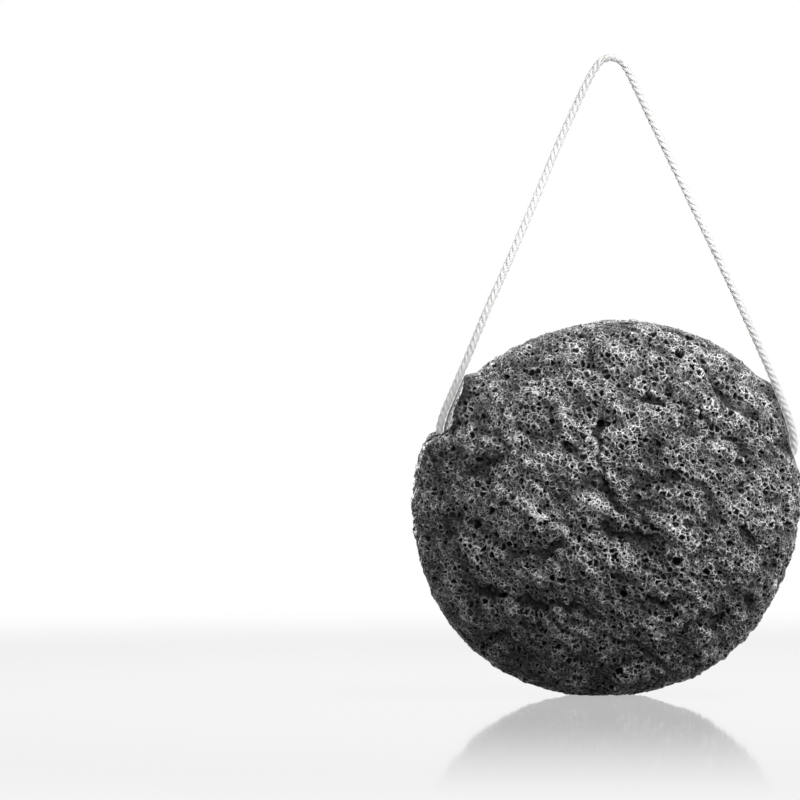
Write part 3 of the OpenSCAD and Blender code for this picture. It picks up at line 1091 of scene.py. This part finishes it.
@dataclass
class Foam:
    """The half ball of foam, with its bore, the slots for the cord and the room for the knot.

    waves holds the outline's waves: how many go round, their height as a share of the radius, and their turn.
    bulges holds the dome's broad bulges: their place across and up, their width and their height, as shares
    of the radius. left_pressed and right_pressed hold the angles at which a leg starts and stops pressing
    the rim in. fold_waves holds for each wave of folds its direction, its length and height as shares of
    fold_gap and fold_rise, and its start. wobbles holds the height, rate and start of a groove's wobbles.
    Facings are the share of a skin's normal that points backwards, first where a change starts and then
    where it is full. Angles are in degrees.
    """

    bore: Bore = field(default_factory=Bore)
    grain: FoamGrain = field(default_factory=FoamGrain)
    # The form, and how finely it is made.
    middle: Point = (-1.25, 0.0, -92.4)
    radius: float = 39.5
    widest: float = 16.0
    dome: float = 22.0
    back_y: float = 16.85
    back_inset: float = 11.0
    dome_fullness: float = 2.2
    back_fullness: float = 2.4
    waves: tuple[Point, ...] = (
        (1, 0.015, 10), (2, 0.026, 50), (3, 0.011, 130), (4, 0.007, 195), (5, 0.005, 100),
    )
    bulges: tuple[Four, ...] = (
        (-0.42, 0.38, 0.30, 0.022), (0.36, 0.46, 0.28, 0.026), (0.02, 0.05, 0.22, -0.024),
        (-0.30, -0.38, 0.32, 0.018), (0.46, -0.30, 0.26, 0.022), (0.10, -0.62, 0.24, -0.016),
    )
    bulge_full: float = 45.0
    around: int = 360
    levels: int = 140
    # Where the legs press into it.
    left_press: float = 2.6
    left_pressed: Four = (137, 151.5, 153.5, 157)
    right_press: float = 1.4
    right_pressed: Four = (148, 161.5, 164, 167.5)
    press_fade: float = 16.0
    press_span: Spot = (0.25, 1.25)
    # Its folds, creases and grooves.
    fold_gap: float = 9.0
    fold_rise: float = 1.4
    fold_waves: tuple[Four, ...] = (
        (64, 1.04, 0.19, 20), (41, 0.9, 0.17, 200), (86, 1.22, 0.18, 310), (119, 0.97, 0.14, 75),
        (9, 1.1, 0.13, 150), (152, 0.91, 0.09, 260), (55, 1.6, 0.1, 120),
    )
    fold_full: float = 30.0
    crease_width: float = 5.2
    crease_drop: float = 0.9
    groove_width: float = 0.8
    groove_fade: Spot = (-0.15, 0.25)
    # Painted shade added in the grooves.
    groove_shade: float = 0.2
    wobbles: tuple[Point, ...] = ((0.35, 1.3, 0.0), (0.25, 2.9, 1.0))
    # The slots for the legs, the bore and the knot's room.
    bend: float = 3.4
    lean: float = 13.0
    slot: float = 1.2
    slot_run: float = 6.8
    slot_angle: float = 76.0
    slot_fans: int = 31
    slot_start: float = 15.0
    slot_step: float = 8.0
    slot_under: int = 8
    pocket_share: float = 2.0
    flare_points: int = 5
    flare_lap: float = 0.1
    rod_sides: int = 40
    room: float = 4.7
    room_height: float = 4.0
    room_wall: float = 0.4
    mouth: float = 1.0
    # The skin beside the cord while the foam swings.
    clear: float = 0.86
    hug: float = 0.6
    hug_full: float = 1.9
    hug_end: float = 3.2
    swing: float = math.radians(57)
    voxel: float = 0.17
    # Where the skin is smoother, and where painted shade darkens it.
    flat_facing: Spot = (-0.2, 0.3)
    back_facing: Spot = (0.6, 0.95)
    back_smooth: float = 0.75
    rim_facing: Spot = (0.55, 0.1)
    rim_smooth: float = 0.45
    free_gap: Spot = (1.2, 5.0)
    # Painted shade on the skin beside the cord, and the gap within which it is full.
    slot_painted_shade: float = 0.6
    slot_shade_gap: float = 1.2
    # The UV map.
    sheet_power: float = 0.2
    sheet_scales: Point = (1.0, 0.4, 0.15)
    sheet_row: float = 2.15
    sheet_gap: float = 1.0

    def outline(self, angle: np.ndarray) -> np.ndarray:
        """The outline's radius at angles in degrees."""
        wave = sum(height * np.cos(np.radians(count * angle - turn)) for count, height, turn in self.waves)
        return self.radius * (1 + wave)

    def pressed(self, angle: np.ndarray, left: float, right: float) -> np.ndarray:
        """How far the cord's legs press into the rim at angles, where left and right are the most.

        Args:
            angle: Degrees round the form, seen from the front.
            left: The most that the left leg presses.
            right: The most that the right leg presses.

        Returns:
            The depth at each angle.
        """
        depth = np.zeros_like(angle)
        for most, at, turn in ((left, self.left_pressed, angle), (right, self.right_pressed, 180 - angle)):
            depth = depth + most * ramped(turn, at[0], at[1]) * (1 - ramped(turn, at[2], at[3]))
        return depth

    def folds(self, spots: np.ndarray) -> np.ndarray:
        """Height of the folds at spots seen from the front, less the depth of the nearest crease's dip.

        Args:
            spots: Places across and up from the foam's middle, in millimetres.

        Returns:
            The height at each spot, in millimetres.
        """
        height = np.zeros(spots.shape[:-1])
        for turn, length, share, start in self.fold_waves:
            way = np.array((math.cos(math.radians(turn)), math.sin(math.radians(turn))))
            phase = 360 * (spots @ way) / (length * self.fold_gap) - start
            height += self.fold_rise * share * np.cos(np.radians(phase))
        dip = np.zeros_like(height)
        for crease in CREASES:
            if crease.dip:
                gap, _ = along_path(spots, np.array(crease.path) * self.radius)
                dip = np.maximum(dip, crease.dip * np.exp(-((gap * 2 / self.crease_width) ** 2)))
        return height - self.crease_drop * dip

    def grooves(self, points: np.ndarray) -> tuple[np.ndarray, np.ndarray]:
        """The sharp bottoms of the creases.

        Args:
            points: Points of the skin, in millimetres.

        Returns:
            How deep the grooves are at each point, and how much painted shade each gets in one, from 0 to 1.
        """
        spots = (points - self.middle)[:, (0, 2)]
        wobble = sum(most * np.sin(spots[:, ::-1] * rate + start) for most, rate, start in self.wobbles)
        depth, shade = np.zeros(len(points)), np.zeros(len(points))
        for crease in CREASES:
            gap, place = along_path(spots + wobble, np.array(crease.path) * self.radius)
            fade = ramped(np.minimum(place, 1 - place), *self.groove_fade)
            here = np.exp(-((gap / self.groove_width) ** 2)) * fade
            depth = np.maximum(depth, here * crease.groove)
            # The grooves get painted shade.
            shade = np.maximum(shade, here * min(1.0, crease.groove + self.groove_shade))
        return depth, shade

    def surface(self, angle: np.ndarray, level: np.ndarray) -> np.ndarray:
        """Points of the foam's form.

        Args:
            angle: Degrees round the form, seen from the front.
            level: Degrees from the back, -90, past the widest line, 0, to the top of the dome, 90.

        Returns:
            The points, in millimetres.
        """
        f = np.radians(level)
        sine, cosine = np.sin(f), np.clip(np.cos(f), 0, 1)
        behind = level < 0
        thick = np.where(
            behind,
            self.widest * (1 - np.abs(sine) ** (2 / self.back_fullness)),
            self.widest + self.dome * np.abs(sine) ** (2 / self.dome_fullness),
        )
        fade = 1 - ramped((thick - self.back_y) / self.press_fade, *self.press_span)
        full = self.outline(angle) - self.pressed(angle, self.left_press, self.right_press) * fade
        r = np.where(
            behind,
            full - self.back_inset * (1 - cosine ** (2 / self.back_fullness)),
            full * cosine ** (2 / self.dome_fullness),
        )
        x, z = r * np.cos(np.radians(angle)), r * np.sin(np.radians(angle))
        bulge = sum(
            height * np.exp(-((x / self.radius - u) ** 2 + (z / self.radius - v) ** 2) / wide**2)
            for u, v, wide, height in self.bulges
        ) * self.radius
        y = self.back_y - thick - bulge * ramped(level, 0, self.bulge_full)
        fold = self.folds(np.stack((x, z), -1)) * ramped(level, 0, self.fold_full)
        fold = fold * (1 - self.pressed(angle, 1.0, 1.0))
        out = np.stack(np.broadcast_arrays(
            cosine * np.cos(np.radians(angle)), -sine, cosine * np.sin(np.radians(angle))
        ), -1)
        return np.stack((x, y, z), -1) + self.middle + fold[..., None] * out

    def blank(self) -> bpy.types.Object:
        """The foam's form before it is cut.

        Returns:
            The form's object.
        """
        around, levels = self.around, self.levels
        angle = np.arange(around) * 360 / around
        level = np.linspace(-90, 90, levels, endpoint=False)
        rings = self.surface(*np.broadcast_arrays(angle[None, :], level[:, None]))
        poles = np.array(((0, self.back_y, 0), self.surface(np.array(0.0), np.array(90.0)) - self.middle))
        points = np.vstack((rings.reshape(-1, 3), poles + self.middle))
        last = levels * around
        faces = [(i, (i + 1) % around, last) for i in range(around)]
        faces += [(b, a, d, c) for a, b, c, d in band_faces(around, levels)]
        top = (levels - 1) * around
        faces += [(top + (i + 1) % around, top + i, last + 1) for i in range(around)]
        return mesh_object("foam_body", points, faces)

    def slot_section(self) -> np.ndarray:
        """Outline of a leg's slot: distance from the bore's axis, and distance out of its end.

        Returns:
            The outline's corners, in millimetres.
        """
        turn = np.radians(np.arange(self.slot_start, 90 + self.lean + 1, self.slot_step))
        last = np.radians(90 + self.lean)
        inner, outer = self.bend - self.slot, self.bend + self.slot

        def arc(radius: float, at: np.ndarray) -> np.ndarray:
            """Points on a circle about the bend's middle."""
            return np.stack((self.bend - radius * np.cos(at), radius * np.sin(at)), -1)

        ahead = self.slot_run * np.array((np.sin(last), np.cos(last)))
        under = np.arccos(self.bend / outer)
        ends = arc(np.array((inner, outer)), np.array((last, last))) + ahead
        below = arc(outer, last + (under - last) * np.arange(self.slot_under + 1) / self.slot_under)
        return np.vstack(([(0, 0), (self.slot, 0)], arc(inner, turn), ends, below))

    def slot_cutter(self, side: int) -> bpy.types.Object:
        """A fan-shaped solid that leaves room for a leg to swing.

        Args:
            side: -1 for the left leg's slot, 1 for the right leg's.

        Returns:
            The solid's object.
        """
        section = self.slot_section()
        end = np.array(self.bore.left if side < 0 else self.bore.right)
        along, behind, above = self.bore.axes
        points = [
            end + math.cos(angle) * reach * above + math.sin(angle) * reach * behind + side * out * along
            for angle in np.radians(np.linspace(-self.slot_angle, self.slot_angle, self.slot_fans))
            for reach, out in section
        ]
        return sealed(mesh_object("slot_cutter", points, self._capped(len(section), self.slot_fans)))

    @staticmethod
    def _capped(count: int, rings: int) -> list[tuple[int, ...]]:
        """Faces of a solid between rings of points, with a cap over the first ring and over the last."""
        last = (rings - 1) * count
        return [tuple(range(count)), tuple(range(last, last + count)), *band_faces(count, rings)]

    def turned(self, profile: Sequence[Spot]) -> bpy.types.Object:
        """A round solid about the bore. Its profile is radius and place along the bore, from the middle.

        Args:
            profile: Radius and place of each ring, in millimetres.

        Returns:
            The solid's object.
        """
        turn = np.linspace(0, FULL_TURN, self.rod_sides, endpoint=False)
        along, behind, above = self.bore.axes
        ring = np.cos(turn)[:, None] * above + np.sin(turn)[:, None] * behind
        points = np.vstack([self.bore.middle + place * along + radius * ring for radius, place in profile])
        return sealed(mesh_object("rod", points, self._capped(self.rod_sides, len(profile))))

    def bore_profile(self) -> list[Spot]:
        """Half a section of the bore, with a pocket at each end where a leg turns into its slot.

        Returns:
            Radius and place of each ring, in millimetres.
        """
        half, wide = self.bore.length / 2, self.pocket_share * self.slot
        inner = self.bend - self.slot
        turns = np.linspace(0, math.acos((self.bend - wide) / inner), self.flare_points)
        flare = [(self.bend - inner * math.cos(a), half + inner * math.sin(a)) for a in turns]
        right = [(self.bore.radius, half - self.flare_lap * self.slot), *flare, (wide, half + self.bend)]
        return [(radius, -place) for radius, place in reversed(right)] + right

    def cut(self, body: bpy.types.Object) -> bpy.types.Object:
        """Cuts the bore, the slots and the knot's room, and gives the skin an even fine mesh.

        Args:
            body: The form's object.

        Returns:
            The same object.
        """
        half = self.room_height / 2
        cutters = [
            self.slot_cutter(-1), self.slot_cutter(1), self.turned(self.bore_profile()),
            self.turned(((self.room, -half), (self.room, half))),
        ]
        for cutter in cutters:
            modifier = body.modifiers.new("cut", "BOOLEAN")
            modifier.object = cutter
            modifier.solver = "MANIFOLD"
            applied(body)
            drop(cutter)
        skin = body.modifiers.new("skin", "REMESH")
        skin.mode = "VOXEL"
        skin.voxel_size = self.voxel * MM
        relaxed = body.modifiers.new("relaxed", "SMOOTH")
        relaxed.factor = 0.5
        relaxed.iterations = 4
        return applied(body)

    def leg_gap(self, points: np.ndarray, route: np.ndarray) -> tuple[np.ndarray, np.ndarray]:
        """How near the cord comes to points of the foam while the foam swings.

        Args:
            points: Points of the skin, in millimetres.
            route: Points of the loop's centreline.

        Returns:
            For each point the distance to the swept centreline, and the direction away from it.
        """
        along, behind, above = self.bore.axes
        local = points - self.bore.middle
        s, b, u = local @ along, local @ behind, local @ above
        held = np.clip(np.arctan2(b, u), -self.swing, self.swing)
        across = np.stack((np.zeros_like(s), np.sin(held), np.cos(held)), -1)
        here = np.stack((s, b, u), -1)
        away = here * (0, 1, 1)
        near = np.where(np.abs(s) < self.bore.length / 2, np.hypot(b, u), np.inf)
        path = np.stack(((route - self.bore.middle) @ along, (route - self.bore.middle) @ above), -1)
        low = path[:, 1] < self.radius
        for start, end in zip(path[low], path[low][1:]):
            way = end - start
            if np.linalg.norm(way) > self.radius:
                continue
            reach = here[:, 1] * across[:, 1] + here[:, 2] * across[:, 2]
            share = np.clip(((s - start[0]) * way[0] + (reach - start[1]) * way[1]) / (way @ way), 0, 1)
            foot = across * (start[1] + share * way[1])[:, None]
            foot[:, 0] = start[0] + share * way[0]
            apart = here - foot
            gap = np.linalg.norm(apart, axis=1)
            closer = gap < near
            near[closer] = gap[closer]
            away[closer] = apart[closer]
        away = away / np.maximum(np.linalg.norm(away, axis=1), TINY)[:, None]
        return near, away @ self.bore.axes

    def pore_tree(self, foam: bpy.types.Material) -> Callable[[Tree, dict[str, Wire]], Wire]:
        """The tree that raises the lumps and opens the pores.

        Args:
            foam: The material.

        Returns:
            The function that adds the tree's nodes.
        """
        grain = self.grain

        def build(tree: Tree, inputs: dict[str, Wire]) -> Wire:
            """Adds the nodes and returns the foam's geometry.

            Args:
                tree: The tree that gets the nodes.
                inputs: The tree's inputs, by name.

            Returns:
                The geometry.
            """
            free, skin = tree.named("free", "FLOAT"), tree.named("skin", "FLOAT")
            place = tree.add("GeometryNodeInputPosition")["Position"] * PER_MM
            facing = tree.add("GeometryNodeInputNormal")["Normal"]
            lift = (grain.lift(tree, place) - grain.folds(tree, place) * inputs["Fold depth"]) * free
            shape = tree.moved(inputs["Geometry"], facing * (lift * MM).spread())
            shape = tree.stored(shape, "rest", place)
            found = grain.hollows(tree, place)
            depth = found["cell"] * inputs["Cell depth"]
            depth = depth.higher(found["deep pore"] * inputs["Deep pore depth"])
            depth = depth.higher(found["pore"] * inputs["Pore depth"])
            depth = depth + found["fine cell"] * inputs["Fine cell depth"]
            move = (found["lip"] * inputs["Lip height"] + grain.fine_cells.depth * 0.5 - depth) * skin
            shape = tree.moved(shape, facing * (move * MM).spread())
            smooth = tree.add("GeometryNodeSetShadeSmooth", {"Geometry": shape})["Geometry"]
            return tree.plain(smooth, foam)

        return build

    def unfold(self, body: bpy.types.Object, points: np.ndarray, inner: np.ndarray,
               gap: np.ndarray) -> None:
        """Gives the foam a UV map: a picture of the skin from each side, and small ones of what lies inside.

        Args:
            body: The foam's object.
            points: Its points before the pores were opened, in millimetres.
            inner: Which points lie in the bore or the knot's room.
            gap: How near the cord comes to each point.
        """
        mesh = body.data
        corner = np.empty(len(mesh.loops), np.int32)
        mesh.loops.foreach_get("vertex_index", corner)
        start = np.empty(len(mesh.polygons), np.int32)
        mesh.polygons.foreach_get("loop_start", start)
        total = np.diff(np.append(start, len(corner)))
        middle = np.add.reduceat(points[corner], start) / total[:, None]
        facing = np.cross(points[corner[start + 1]] - points[corner[start]],
                          points[corner[start + 2]] - points[corner[start]])
        share = (middle - self.middle) / (self.radius, 1, self.radius)
        reach = np.where(share[:, 1] < 0, self.dome, self.widest)
        share[:, 1] = (middle[:, 1] - self.back_y + self.widest) / reach
        slope = share * np.abs(share) ** self.sheet_power
        slope[:, 1] *= self.radius / self.dome
        hidden = inner[corner[start]]
        slotted = (gap[corner[start]] < self.hug_end) & ~hidden
        way = np.where((hidden | slotted)[:, None], facing, slope)
        axis = np.abs(way).argmax(1)
        sign = np.where(np.take_along_axis(way, axis[:, None], 1)[:, 0] < 0, -1, 1)
        on_right = middle[:, 0] > 0
        full, small, least = self.sheet_scales
        groups = (
            (~hidden & ~slotted, full), (slotted & on_right, small), (slotted & ~on_right, small),
            (hidden, least),
        )
        sheets = []
        for chosen, scale in groups:
            for side in Side:
                along, towards, across, up = side.value
                corners = np.flatnonzero(np.repeat(chosen & (axis == along) & (sign == towards), total))
                if len(corners):
                    sheets.append(Sheet(corners, points[corner[corners]][:, (across, up)], scale))
        spots = laid_out(sheets, len(corner), self.sheet_row * 2 * self.radius, self.sheet_gap)
        layer = mesh.uv_layers.new(name="OFBake")
        layer.data.foreach_set("uv", spots.astype(np.float32).ravel())

    def hug_cord(self, body: bpy.types.Object, cord_line: np.ndarray) -> np.ndarray:
        """Draws the slots' edges in to the legs of the cord.

        Args:
            body: The foam's object.
            cord_line: Points of the loop's centreline.

        Returns:
            Which points of the foam lie in the bore or the knot's room.
        """
        points, _ = skin_of(body)
        gap, away = self.leg_gap(points, cord_line)
        along, behind, above = self.bore.axes
        local = points - self.bore.middle
        deep_in = np.abs(local @ along) < self.bore.length / 2 - self.mouth
        inner = deep_in & (np.hypot(local @ behind, local @ above) < self.room + self.room_wall)
        hugging = ramped(gap, self.hug_end, self.hug_full) * (gap > self.hug) * ~inner
        set_points(body, points - away * (hugging * (gap - self.hug))[:, None])
        return inner

    def mark(self, body: bpy.types.Object, cord_line: np.ndarray,
             inner: np.ndarray) -> tuple[np.ndarray, np.ndarray]:
        """Cuts the grooves, and keeps how free each point is to rise and how much painted shade it gets.

        Args:
            body: The foam's object.
            cord_line: Points of the loop's centreline.
            inner: Which points lie in the bore or the knot's room.

        Returns:
            The points in millimetres, and how near the cord comes to each.
        """
        points, normals = skin_of(body)
        backward = normals[:, 1]
        gap, _ = self.leg_gap(points, cord_line)
        flat = ramped(backward, *self.flat_facing)
        rim = self.rim_smooth * ramped(np.abs(backward), *self.rim_facing)
        free = ramped(gap, *self.free_gap) * ~inner
        groove, shade = self.grooves(points)
        front = (1 - flat) * (1 - rim) * free
        points = points - normals * (groove * front)[:, None]
        set_points(body, points)
        # Painted shade on the skin in the slots beside the cord.
        slot_shade = self.slot_painted_shade * ramped(gap, self.hug_end, self.slot_shade_gap) * ~inner
        store(body, "free", free * (1 - self.back_smooth * ramped(backward, *self.back_facing) - rim))
        store(body, "skin", np.where(inner, 0.0, 1.0))
        # The crease mark keeps the painted shade of the grooves and of the slots.
        store(body, "crease", np.maximum(shade * front, slot_shade))
        return points, gap

    def build(self, foam: bpy.types.Material, cord_line: np.ndarray) -> bpy.types.Object:
        """Args:
            foam: The material.
            cord_line: Points of the loop's centreline, which the foam keeps clear of.

        Returns:
            The foam's object.
        """
        body = self.cut(self.blank())
        LOG.info("foam skin: %d points", len(body.data.vertices))
        inner = self.hug_cord(body, cord_line)
        points, gap = self.mark(body, cord_line, inner)
        grain = self.grain
        grown(body, "foam_body", self.pore_tree(foam), {
            "Fold depth": grain.fold_depth,
            "Cell depth": grain.cells.depth,
            "Fine cell depth": grain.fine_cells.depth,
            "Pore depth": grain.mid_pores.depth,
            "Deep pore depth": grain.deep_pores.depth,
            "Lip height": grain.lip_height,
        })
        self.unfold(body, points, inner, gap)
        points, _ = skin_of(body)
        gap, away = self.leg_gap(points, cord_line)
        set_points(body, points + away * np.maximum(self.clear - gap, 0)[:, None])
        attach(body, "sponge")
        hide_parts("sponge_body")
        return body


class Side(Enum):
    """Which way a face looks: the axis, and the two axes that its picture is laid out on."""

    RIGHT = (0, 1, 1, 2)
    LEFT = (0, -1, 1, 2)
    BEHIND = (1, 1, 0, 2)
    FRONT = (1, -1, 0, 2)
    TOP = (2, 1, 0, 1)
    UNDER = (2, -1, 0, 1)


@dataclass
class Sheet:
    """One flat piece of an unfolded surface: the corners that it holds, their places and its scale."""

    corners: np.ndarray
    spots: np.ndarray
    scale: float

    @property
    def size(self) -> np.ndarray:
        """Width and height, in millimetres of the layout."""
        return np.ptp(self.spots, axis=0) * self.scale


def laid_out(sheets: Sequence[Sheet], count: int, width: float, gap: float) -> np.ndarray:
    """Lays sheets side by side in rows, the tallest first, and fits the whole into a unit square.

    Args:
        sheets: The sheets.
        count: The number of corners in all.
        width: Width of the rows, in millimetres.
        gap: Room between sheets, in millimetres.

    Returns:
        A place between 0 and 1 for each corner.
    """
    places = np.zeros((count, 2))
    at, tall = np.array((gap, gap)), 0.0
    for sheet in sorted(sheets, key=lambda one: -one.size[1]):
        if at[0] + sheet.size[0] > width:
            at = np.array((gap, at[1] + tall + gap))
            tall = 0.0
        places[sheet.corners] = at + (sheet.spots - sheet.spots.min(0)) * sheet.scale
        at = at + (sheet.size[0] + gap, 0)
        tall = max(tall, sheet.size[1])
    return places / max(width + gap, at[1] + tall + gap)


def skin_of(thing: bpy.types.Object) -> tuple[np.ndarray, np.ndarray]:
    """An object's points in millimetres, and their normals.

    Args:
        thing: The object.

    Returns:
        The points and the normals, one row each.
    """
    mesh = thing.data
    points = np.empty(len(mesh.vertices) * 3, np.float32)
    mesh.vertices.foreach_get("co", points)
    normals = np.empty_like(points)
    mesh.vertex_normals.foreach_get("vector", normals)
    return points.reshape(-1, 3).astype(float) * PER_MM, normals.reshape(-1, 3).astype(float)


def set_points(thing: bpy.types.Object, points: np.ndarray) -> None:
    """Moves an object's points to places in millimetres."""
    thing.data.vertices.foreach_set("co", (points * MM).astype(np.float32).ravel())
    thing.data.update()


def store(thing: bpy.types.Object, name: str, values: np.ndarray) -> None:
    """Keeps one number for each point of an object."""
    attribute = thing.data.attributes.new(name, "FLOAT", "POINT")
    attribute.data.foreach_set("value", values.astype(np.float32))


def sealed(thing: bpy.types.Object) -> bpy.types.Object:
    """Merges an object's doubled points and turns its faces outwards.

    Args:
        thing: The object.

    Returns:
        The same object.
    """
    shape = bmesh.new()
    shape.from_mesh(thing.data)
    bmesh.ops.remove_doubles(shape, verts=shape.verts, dist=0.01 * MM)
    bmesh.ops.dissolve_degenerate(shape, edges=shape.edges, dist=0.001 * MM)
    bmesh.ops.recalc_face_normals(shape, faces=shape.faces)
    shape.to_mesh(thing.data)
    shape.free()
    return thing


@dataclass(frozen=True)
class Lamp:
    """A square soft lamp that faces the foam, with its width in millimetres and its power in watts.

    spared names what its light is kept off: the floor where it would mirror the lamp, and the cord where
    the lamp stands so near that it would burn out.
    """

    name: str
    at: Point
    width: float
    power: float
    spared: tuple[str, ...] = ()


@dataclass
class Studio:
    """Camera, lamps, world and floor.

    mirror is the floor's share of mirror image, which mirror_span fades out with the distance from the
    middle, and beyond white_span the floor is plain white.
    """

    camera_at: Point = (-43.55, -1000.0, -70.0)
    frame_width: float = 165.36
    lamps: tuple[Lamp, ...] = (
        Lamp("key", (105, -70, 60), 120, 0.21, ("floor", "cord")),
        Lamp("side", (230, -120, -20), 160, 0.25, ("floor",)),
        Lamp("back", (-260, 620, 40), 300, 2.8, ("floor",)),
        Lamp("high", (260, -120, 480), 200, 1.3),
    )
    aim: Point = (0, 0, -92)
    spot_at: Point = (20, -620, 120)
    spot_aim: Point = (-8, 0, -32)
    spot_reach: float = 58.0
    spot_edge: float = 0.35
    spot_width: float = 60.0
    spot_power: float = 20.0
    floor_z: float = -131.0
    floor_radius: float = 3000.0
    floor_sides: int = 96
    floor_matt: float = 0.1
    floor_lift: float = 0.84
    mirror: float = 0.45
    mirror_tone: float = 0.95
    mirror_roughness: float = 0.05
    mirror_span: Spot = (270.0, 70.0)
    white_span: Spot = (200.0, 420.0)
    fill: float = 0.09

    def camera(self) -> None:
        """Sets up the camera at the photograph's viewing angle."""
        data = bpy.data.cameras.new("camera")
        data.sensor_width = 36
        data.lens = data.sensor_width * -self.camera_at[1] / self.frame_width
        data.clip_start, data.clip_end = 0.05, 20
        made = bpy.data.objects.new("camera", data)
        made.location = Vector(self.camera_at) * MM
        made.rotation_euler = (math.radians(90), 0, 0)
        bpy.context.scene.collection.objects.link(made)
        bpy.context.scene.camera = made

    @staticmethod
    def _placed(light: bpy.types.Light, at: Point, aim: Point) -> bpy.types.Object:
        """Makes a light's object, which stands at a place, faces a point and stays out of the picture.

        Args:
            light: The light.
            at: Its place, in millimetres.
            aim: The point that it faces, in millimetres.

        Returns:
            The light's object.
        """
        made = bpy.data.objects.new(light.name, light)
        made.location = Vector(at) * MM
        made.rotation_euler = (Vector(aim) - Vector(at)).to_track_quat("-Z", "Y").to_euler()
        made.visible_camera = False
        bpy.context.scene.collection.objects.link(made)
        return made

    def lamp(self, lamp: Lamp, spared: Mapping[str, Sequence[bpy.types.Object]]) -> None:
        """Adds a square soft lamp and keeps its light off what it spares, as a flag before it would.

        Args:
            lamp: The lamp.
            spared: The objects that lamps may spare, by the name that a lamp has for them.
        """
        light = bpy.data.lights.new(lamp.name, "AREA")
        light.size = lamp.width * MM
        light.energy = lamp.power
        made = self._placed(light, lamp.at, self.aim)
        if not lamp.spared:
            return
        held = bpy.data.collections.new(f"{lamp.name}_flag")
        for thing in (thing for name in lamp.spared for thing in spared[name]):
            held.objects.link(thing)
        for member in held.collection_objects:
            member.light_linking.link_state = "EXCLUDE"
        made.light_linking.receiver_collection = held

    def spot(self) -> None:
        """Adds the soft-edged round light on the top of the foam and the legs of the cord."""
        light = bpy.data.lights.new("front", "SPOT")
        way = Vector(self.spot_aim) - Vector(self.spot_at)
        light.spot_size = 2 * math.atan(self.spot_reach / way.length)
        light.spot_blend = self.spot_edge
        light.shadow_soft_size = self.spot_width * MM
        light.energy = self.spot_power
        self._placed(light, self.spot_at, self.spot_aim)

    def world(self) -> None:
        """Lights the scene evenly, and shows white where nothing else is seen."""
        world = bpy.data.worlds.new("studio")
        tree = emptied(world)
        bpy.context.scene.world = world
        shade = tree.blend(self._seen(tree), (self.fill,) * 3, WHITE)
        light = tree.add("ShaderNodeBackground", {"Color": shade, "Strength": 1.0})["Background"]
        tree.add("ShaderNodeOutputWorld", {"Surface": light})

    @staticmethod
    def _seen(tree: Tree) -> Wire:
        """1 for a ray that shows in the picture, directly, mirrored or through glass."""
        path = tree.add("ShaderNodeLightPath")
        return path["Is Camera Ray"].higher(path["Is Glossy Ray"]).higher(path["Is Transmission Ray"])

    def floor(self) -> bpy.types.Object:
        """Makes the pale floor, which keeps the shadow and a faint mirror image of what stands on it.

        Returns:
            The floor's object.
        """
        count = self.floor_sides
        turn = np.linspace(0, FULL_TURN, count, endpoint=False)
        rim = np.stack((np.cos(turn), np.sin(turn), np.zeros(count)), 1) * self.floor_radius
        made = mesh_object("floor", rim + (0, 0, self.floor_z), [range(count)])
        material = bpy.data.materials.new("pale_floor")
        tree = emptied(material)
        place = tree.add("ShaderNodeTexCoord")["Object"] * PER_MM
        away = (place * (1.0, 1.0, 0.0)).length()
        matt = tree.add("ShaderNodeBsdfDiffuse", {"Color": (self.floor_matt,) * 3})["BSDF"]
        lifted = tree.add("ShaderNodeAddShader", {0: matt, 1: tree.glow(self.floor_lift)})["Shader"]
        glossy = {"Color": (self.mirror_tone,) * 3, "Roughness": self.mirror_roughness}
        mirror = tree.add("ShaderNodeBsdfGlossy", glossy)["BSDF"]
        near = tree.mixed(away.step(*self.mirror_span) * self.mirror, lifted, mirror)
        shown = tree.mixed(away.step(*self.white_span), near, tree.glow(1.0))
        whole = tree.mixed(self._seen(tree), matt, shown)
        tree.add("ShaderNodeOutputMaterial", {"Surface": whole})
        made.data.materials.append(material)
        return made

    def build(self, cord: Sequence[bpy.types.Object]) -> None:
        """Makes the camera, the lamps, the world and the floor.

        Args:
            cord: The cord's pieces, which lamps may spare.
        """
        self.camera()
        self.world()
        spared = {"floor": [self.floor()], "cord": cord}
        for lamp in self.lamps:
            self.lamp(lamp, spared)
        self.spot()
        bpy.context.scene.view_settings.view_transform = "Standard"


def main() -> None:
    """Builds the cord, the studio and the foam, and reports each piece."""
    logging.basicConfig(level=logging.INFO, format="%(name)s: %(message)s")
    cotton = CottonFinish().material()
    cord = HangingCord()
    pieces = cord.build(cotton)
    Studio().build(pieces)
    pieces.append(Foam().build(FoamFinish().material(), np.array(cord.route)))
    for piece in pieces:
        LOG.info("%s: %d faces", piece.name, len(piece.data.polygons))


if __name__ == "__main__":
    main()
